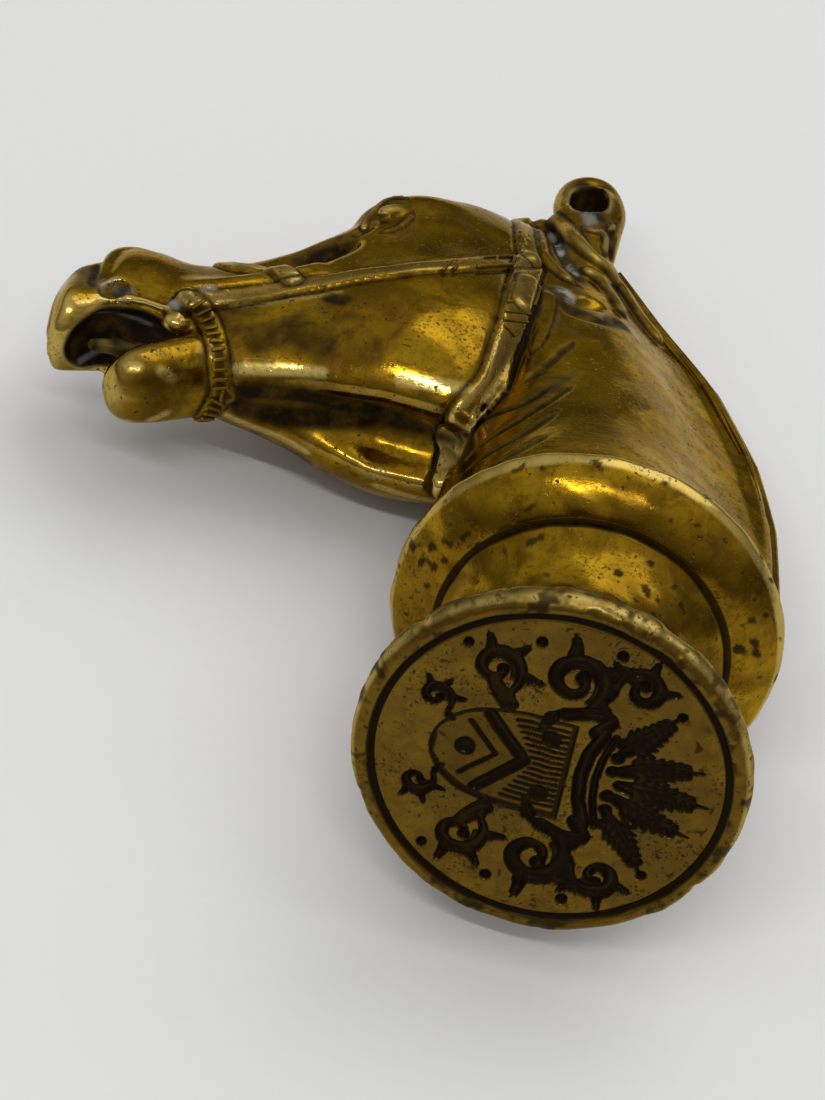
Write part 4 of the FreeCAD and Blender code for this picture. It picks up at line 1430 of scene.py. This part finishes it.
class SEAL_OT_mane(bpy.types.Operator):
    """Lay the strands of the mane along the crest of the neck"""
    bl_idname = "seal.mane"
    bl_label = "Mane strands"

    def execute(self, context):
        sizes = in_millimetres(context.scene.seal_handle)
        clay = bare_mould().clay
        crest = smooth_rows([side(*station[0]) for station in neck_station_shares[1:]][::-1], 10)
        points, edges, fullness = [], [], []
        for out, thickness, reach in mane_strands:
            for hand in (1.0,) if out == 0 else (1.0, -1.0):
                run = crest[:int(len(crest) * reach)]
                share = np.linspace(0, 1, len(run))
                wave = 0.12 * np.sin(share * 9 + out * 5)
                line = np.stack((run[:, 0] + 0.4 * out, np.full(len(run), out + 0.01) + wave * (out > 0),
                                 run[:, 1] - 0.3), axis=1)
                line = clay.snapped(line)
                line[:, 1] = line[:, 1] * hand if out else 0.0
                first = len(points)
                points.extend(line)
                edges.extend((k, k + 1) for k in range(first, first + len(line) - 1))
                taper = smooth_step((1 - share) / 0.3) if out else 1.0 + 0 * share
                fullness.extend(thickness * (0.25 + 0.75 * taper))
        material = brass_finish(context, "cast brass")
        grown("mane_strands", points, edges, {"fullness": ("FLOAT", "value", fullness)}, strands_tree(),
              {"Thickness": sizes.strand_thickness * MM, "Sides": 12, "Material": material})
        return {"FINISHED"}


def rim_hollow(points, field, inner, rim):
    """How hollow the rim band is: deep in its groove, and worn at its rounded edge."""
    reach = axis_reach(points)
    groove = smooth_step(1 - np.abs(reach - (field + inner) / 2) / 0.4)
    edge = smooth_step(1 - np.abs(reach - rim + 0.15) / 0.45)
    return np.where(points[..., 2] < 1.5, groove * 0.9 - edge * 0.45, 0.05)


class SEAL_OT_die(bpy.types.Operator):
    """Turn the die and engrave its face"""
    bl_idname = "seal.die"
    bl_label = "Engraved die"

    def execute(self, context):
        sizes = in_millimetres(context.scene.seal_foot)
        rim = sizes.die_diameter / 2
        inner = rim - sizes.rim_face_width
        field = inner - sizes.ring_groove_width
        board = engraved_board(sizes, field + 0.2)
        marks = Marks(die_seed)
        unit, faces, loop = disc_grid(disc_half_cells)
        disc = np.concatenate((unit * field, np.zeros((len(unit), 1))), axis=1)
        depth = board.at(-disc[:, 0], disc[:, 1])
        calm = smooth_step((field - axis_reach(disc)) / 0.4)
        disc[:, 2] = field_recess + calm * (depth + 0.03 * marks.at(disc, 3.0) + 0.02 * marks.at(disc, 1.1))
        turns = np.arctan2(disc[loop, 1], disc[loop, 0])
        soft = 0.6
        back = stem_seat - 0.02
        rows = profile_rows(((field, field_recess), (field + 0.06, sizes.ring_groove_depth),
                             (inner - 0.06, sizes.ring_groove_depth), (inner, 0.02), (rim - soft, 0.0),
                             (rim, soft), (rim, rim_height - soft), (rim - soft, rim_height),
                             (sizes.stem_foot / 2, back), (1.0, back)), die_spacing)
        points, ways = lathe(rows[1:], turns)
        knocks = np.clip(marks.at(points * (1, 1, 0.4), 4.5) - 0.9, 0, None) * 0.10
        knocks += np.clip(marks.at(points * (1, 1, 0.4), 1.7) - 1.1, 0, None) * 0.07
        dents = 0.02 * marks.at(points, 2.0) + 0.03 * marks.at(points, 5.0) - knocks
        near_rim = smooth_step((axis_reach(points) - inner + 0.4) / 0.5)
        points = points + ways * (dents * near_rim)[..., None]
        all_points = np.concatenate((disc, points.reshape(-1, 3), [(0, 0, back)]))
        offset = len(disc)
        count = len(loop)
        seam_faces = np.stack((loop, np.roll(loop, -1), offset + np.roll(np.arange(count), -1),
                               offset + np.arange(count)), axis=1)
        tube = tube_faces(len(points), count, offset)
        quads = np.concatenate((faces, seam_faces[:, ::-1], tube[:, ::-1]))
        top = len(all_points) - 1
        last = offset + (len(points) - 1) * count + np.arange(count)
        lid = [(int(a), int(b), top) for a, b in zip(last, np.roll(last, -1))]
        steep = Board(board.half, len(board.axis))
        steep.depth = np.hypot(*np.gradient(board.depth, board.step))
        fine = np.concatenate((depth * 0.75 + 0.32 * np.minimum(steep.at(-disc[:, 0], disc[:, 1]), 1.2),
                               rim_hollow(points, field, inner, rim).ravel(), [0]))
        faces_out = outward(all_points, quads)
        if faces_out is not quads:
            lid = [corners[::-1] for corners in lid]
        spots = marks.at(points, 2.6) + 0.6 * marks.at(points, 0.8)
        dirt = smooth_step((spots - 0.1) / 1.2) * near_rim * 0.85
        dirt_and_shade = np.concatenate((np.zeros(len(disc)), dirt.ravel(), [0]))
        attributes = {"hollow_fine": fine, "dirt_and_shade": dirt_and_shade}
        material = brass_finish(context, "die brass")
        mesh_piece("engraved_die", all_points, faces_out.tolist() + lid, attributes, material,
                   "matrix_die")
        return {"FINISHED"}


def turned_piece(name, corners, marks, hollow_at, material, node):
    """A turned ring round the stud, from an outline that closes on itself."""
    rows = profile_rows(corners, ring_spacing)
    turns = np.linspace(0, 2 * math.pi, ring_turns, endpoint=False)
    points, ways = lathe(rows, turns)
    uneven = 0.018 * marks.at(points, 2.4) + 0.028 * marks.at(points, 6.0)
    outer = smooth_step((axis_reach(points) - 5.0) / 1.0)
    points = points + ways * (uneven * outer)[..., None]
    faces = tube_faces(len(rows), len(turns), 0, True)
    flat = points.reshape(-1, 3)
    hollow = hollow_at(points)
    spots = marks.at(points, 1.1) + 0.5 * marks.at(points, 5.0) + 1.6 * np.clip(hollow, 0, 0.5)
    attributes = {"hollow_fine": hollow.ravel(), "dirt_and_shade": 0.9 * smooth_step((spots - 1.7) / 0.5).ravel()}
    mesh_piece(name, flat, outward(flat, faces).tolist(), attributes, material, node)


class SEAL_OT_collar(bpy.types.Operator):
    """Turn the flared collar under the neck"""
    bl_idname = "seal.collar"
    bl_label = "Flared collar"

    def execute(self, context):
        sizes = in_millimetres(context.scene.seal_foot)
        seat, rim = sizes.stem_head / 2, sizes.collar_diameter / 2
        dish = arc_through((seat, collar_seat + 0.05), ((seat + rim) / 2, collar_seat + 0.74),
                           (rim, rim_level), 9)
        corners = [(stud_bore_radius, collar_seat + 0.05)] + dish + [
            (rim + 0.2, rim_level + 0.5), (rim, rim_level + 1.0), (10.8, handle_seat),
            (stud_bore_radius, handle_seat)]

        def hollow_at(points):
            reach = axis_reach(points)
            joint = smooth_step(1 - (reach - seat) / 0.35) * 0.55
            return joint - smooth_step((reach - rim + 0.35) / 0.3) * 0.5

        turned_piece("flared_collar", corners, Marks(collar_seed), hollow_at,
                     brass_finish(context, "turned brass"), "collar_flange")
        return {"FINISHED"}


class SEAL_OT_stem(bpy.types.Operator):
    """Turn the waisted stem between the die and the collar"""
    bl_idname = "seal.stem"
    bl_label = "Waisted stem"

    def execute(self, context):
        sizes = in_millimetres(context.scene.seal_foot)
        foot, waist, head = sizes.stem_foot / 2, sizes.stem_waist / 2, sizes.stem_head / 2
        side_rows = arc_through((foot, stem_seat), (waist, stem_seat + 4.7), (head, collar_seat), 24)
        corners = ([(4.05, stem_seat)] + side_rows + [(stud_bore_radius, collar_seat),
                   (stud_bore_radius, stem_seat + 3.45), (4.05, stem_seat + 3.45)])

        def hollow_at(points):
            low = smooth_step(1 - (points[..., 2] - stem_seat) / 0.6)
            high = smooth_step(1 - (collar_seat - points[..., 2]) / 0.35)
            return np.maximum(low, high) * 0.55 + 0.06

        turned_piece("waisted_spool", corners, Marks(stem_seed), hollow_at,
                     brass_finish(context, "turned brass"), "waisted_stem")
        return {"FINISHED"}


def arc_through(first, middle, last, count):
    """Points along the circular arc through three (radius, level) points."""
    (ax, ay), (bx, by), (cx, cy) = first, middle, last
    twice = 2 * (ax * (by - cy) + bx * (cy - ay) + cx * (ay - by))
    a, b, c = (x ** 2 + y ** 2 for x, y in (first, middle, last))
    ux = (a * (by - cy) + b * (cy - ay) + c * (ay - by)) / twice
    uy = (a * (cx - bx) + b * (ax - cx) + c * (bx - ax)) / twice
    turns = [math.atan2(y - uy, x - ux) for x, y in (first, middle, last)]
    for k in (1, 2):
        while turns[k] - turns[k - 1] > math.pi:
            turns[k] -= 2 * math.pi
        while turns[k] - turns[k - 1] < -math.pi:
            turns[k] += 2 * math.pi
    radius = math.hypot(ax - ux, ay - uy)
    return [(ux + radius * math.cos(turn), uy + radius * math.sin(turn))
            for turn in np.linspace(turns[0], turns[2], count)]


class SEAL_OT_stud(bpy.types.Operator):
    """Finish the hidden threaded stud"""
    bl_idname = "seal.stud"
    bl_label = "Joining stud"

    def execute(self, context):
        stud = frame["nodes"]["joining_stud"]
        stud.data.materials.clear()
        stud.data.materials.append(brass_finish(context, "stud brass"))
        return {"FINISHED"}


class SEAL_OT_stage(bpy.types.Operator):
    """Lay the table, light it softly and place the camera"""
    bl_idname = "seal.stage"
    bl_label = "Table, light and camera"

    def execute(self, context):
        lay_table(context.scene.seal_finish)
        light_table()
        place_camera()
        context.scene.view_settings.view_transform = "Standard"
        return {"FINISHED"}


# The table's half length in metres, and the colour of the fibres in its paper
table_reach = 1.5
grey_fibre = (0.74, 0.74, 0.74, 1)


def lay_table(settings):
    """A wide pale table under the seal."""
    mesh = bpy.data.meshes.new("table")
    corners = [(x * table_reach, y * table_reach, 0) for x, y in ((-1, -1), (1, -1), (1, 1), (-1, 1))]
    mesh.from_pydata(corners, [], [(0, 1, 2, 3)])
    table = linked("table", mesh)
    finish = Finish("pale paper")
    grain = finish.noise(0.8, 4, 0.6)
    tone = finish.mix(finish.ramp(grain, 0.3, 0.7, 0.0, 0.06), linear(settings.floor), grey_fibre)
    mesh.materials.append(finish.finish(tone, 0.0, 0.75, finish.times(grain, 0.03), 0.3))


def area_light(name, place, target, size, power):
    """A soft rectangular lamp at a place, aimed at a target, in metres."""
    lamp = bpy.data.lights.new(name, "AREA")
    lamp.shape = "RECTANGLE"
    lamp.size, lamp.size_y = size
    lamp.energy = power
    place, target = np.array(place, float), np.array(target, float)
    back = (place - target) / np.linalg.norm(place - target)
    right = np.cross((0, 0, 1), back) if abs(back[2]) < 0.99 else np.array((1.0, 0, 0))
    right /= np.linalg.norm(right)
    up = np.cross(back, right)
    turn = Matrix(np.stack((right, up, back), axis=1).tolist()).to_4x4()
    linked(name, lamp).matrix_world = Matrix.Translation(place.tolist()) @ turn


# Lamps: place and size in metres, and power in watts; all are aimed at the seal
lamps = (("window", (0.14, 0.20, 0.46), (0.45, 0.45), 0.70),
         ("strip", (-0.03, -0.29, 0.43), (0.30, 0.014), 0.52))
lamp_target = (0, 0, 0.01)


def light_table():
    """Soft lamps over the table, and a dim even surround."""
    for name, place, size, power in lamps:
        area_light(name, place, lamp_target, size, power)
    world = bpy.data.worlds.new("room")
    world.use_nodes = True
    sky = Finish.for_tree(world.node_tree)
    level = sky.node("ShaderNodeSeparateXYZ", {0: sky.node("ShaderNodeTexCoord").outputs["Generated"]})
    back = world.node_tree.nodes["Background"]
    back.inputs["Color"].default_value = (0.81, 0.81, 0.81, 1)
    sky.feed(back.inputs["Strength"], sky.ramp(level.outputs["Z"], -0.1, 0.95, 0.18, 0.80))
    bpy.context.scene.world = world


def place_camera():
    """The camera of the photograph, at its real distance."""
    data = bpy.data.cameras.new("camera")
    data.sensor_width = film_side
    data.lens = picture_focal / picture_height * film_side
    data.clip_start, data.clip_end = 0.01, 10.0
    camera = linked("camera", data)
    turn = seal_axes.T @ (camera_axes().T @ np.diag((1.0, -1.0, -1.0)))
    camera.matrix_world = Matrix.Translation(laid(camera_place()).tolist()) @ Matrix(turn.tolist()).to_4x4()
    bpy.context.scene.camera = camera


class SEAL_PT_panel(bpy.types.Panel):
    """Sizes, colours and pieces of the desk seal"""
    bl_idname = "SEAL_PT_panel"
    bl_label = "Desk Seal"
    bl_space_type = "VIEW_3D"
    bl_region_type = "UI"
    bl_category = "Desk Seal"

    def draw(self, context):
        for group in (context.scene.seal_handle, context.scene.seal_foot, context.scene.seal_finish):
            box = self.layout.box()
            for name in group.__annotations__:
                box.prop(group, name)
        for operator in operators:
            self.layout.operator(operator.bl_idname)


settings_groups = {"seal_handle": SealHandleSettings, "seal_foot": SealFootSettings,
                   "seal_finish": SealFinishSettings}
operators = (SEAL_OT_stage, SEAL_OT_casting, SEAL_OT_chasing, SEAL_OT_mane, SEAL_OT_die, SEAL_OT_collar,
             SEAL_OT_stem, SEAL_OT_stud)


def register():
    for group in settings_groups.values():
        bpy.utils.register_class(group)
    for name, group in settings_groups.items():
        setattr(bpy.types.Scene, name, bpy.props.PointerProperty(type=group))
    for item in operators + (SEAL_PT_panel,):
        bpy.utils.register_class(item)


def unregister():
    for item in reversed(operators + (SEAL_PT_panel,)):
        bpy.utils.unregister_class(item)
    for name, group in settings_groups.items():
        delattr(bpy.types.Scene, name)
        bpy.utils.unregister_class(group)


def main():
    register()
    for operator in operators:
        group, name = operator.bl_idname.split(".")
        getattr(getattr(bpy.ops, group), name)()


if __name__ == "__main__":
    main()
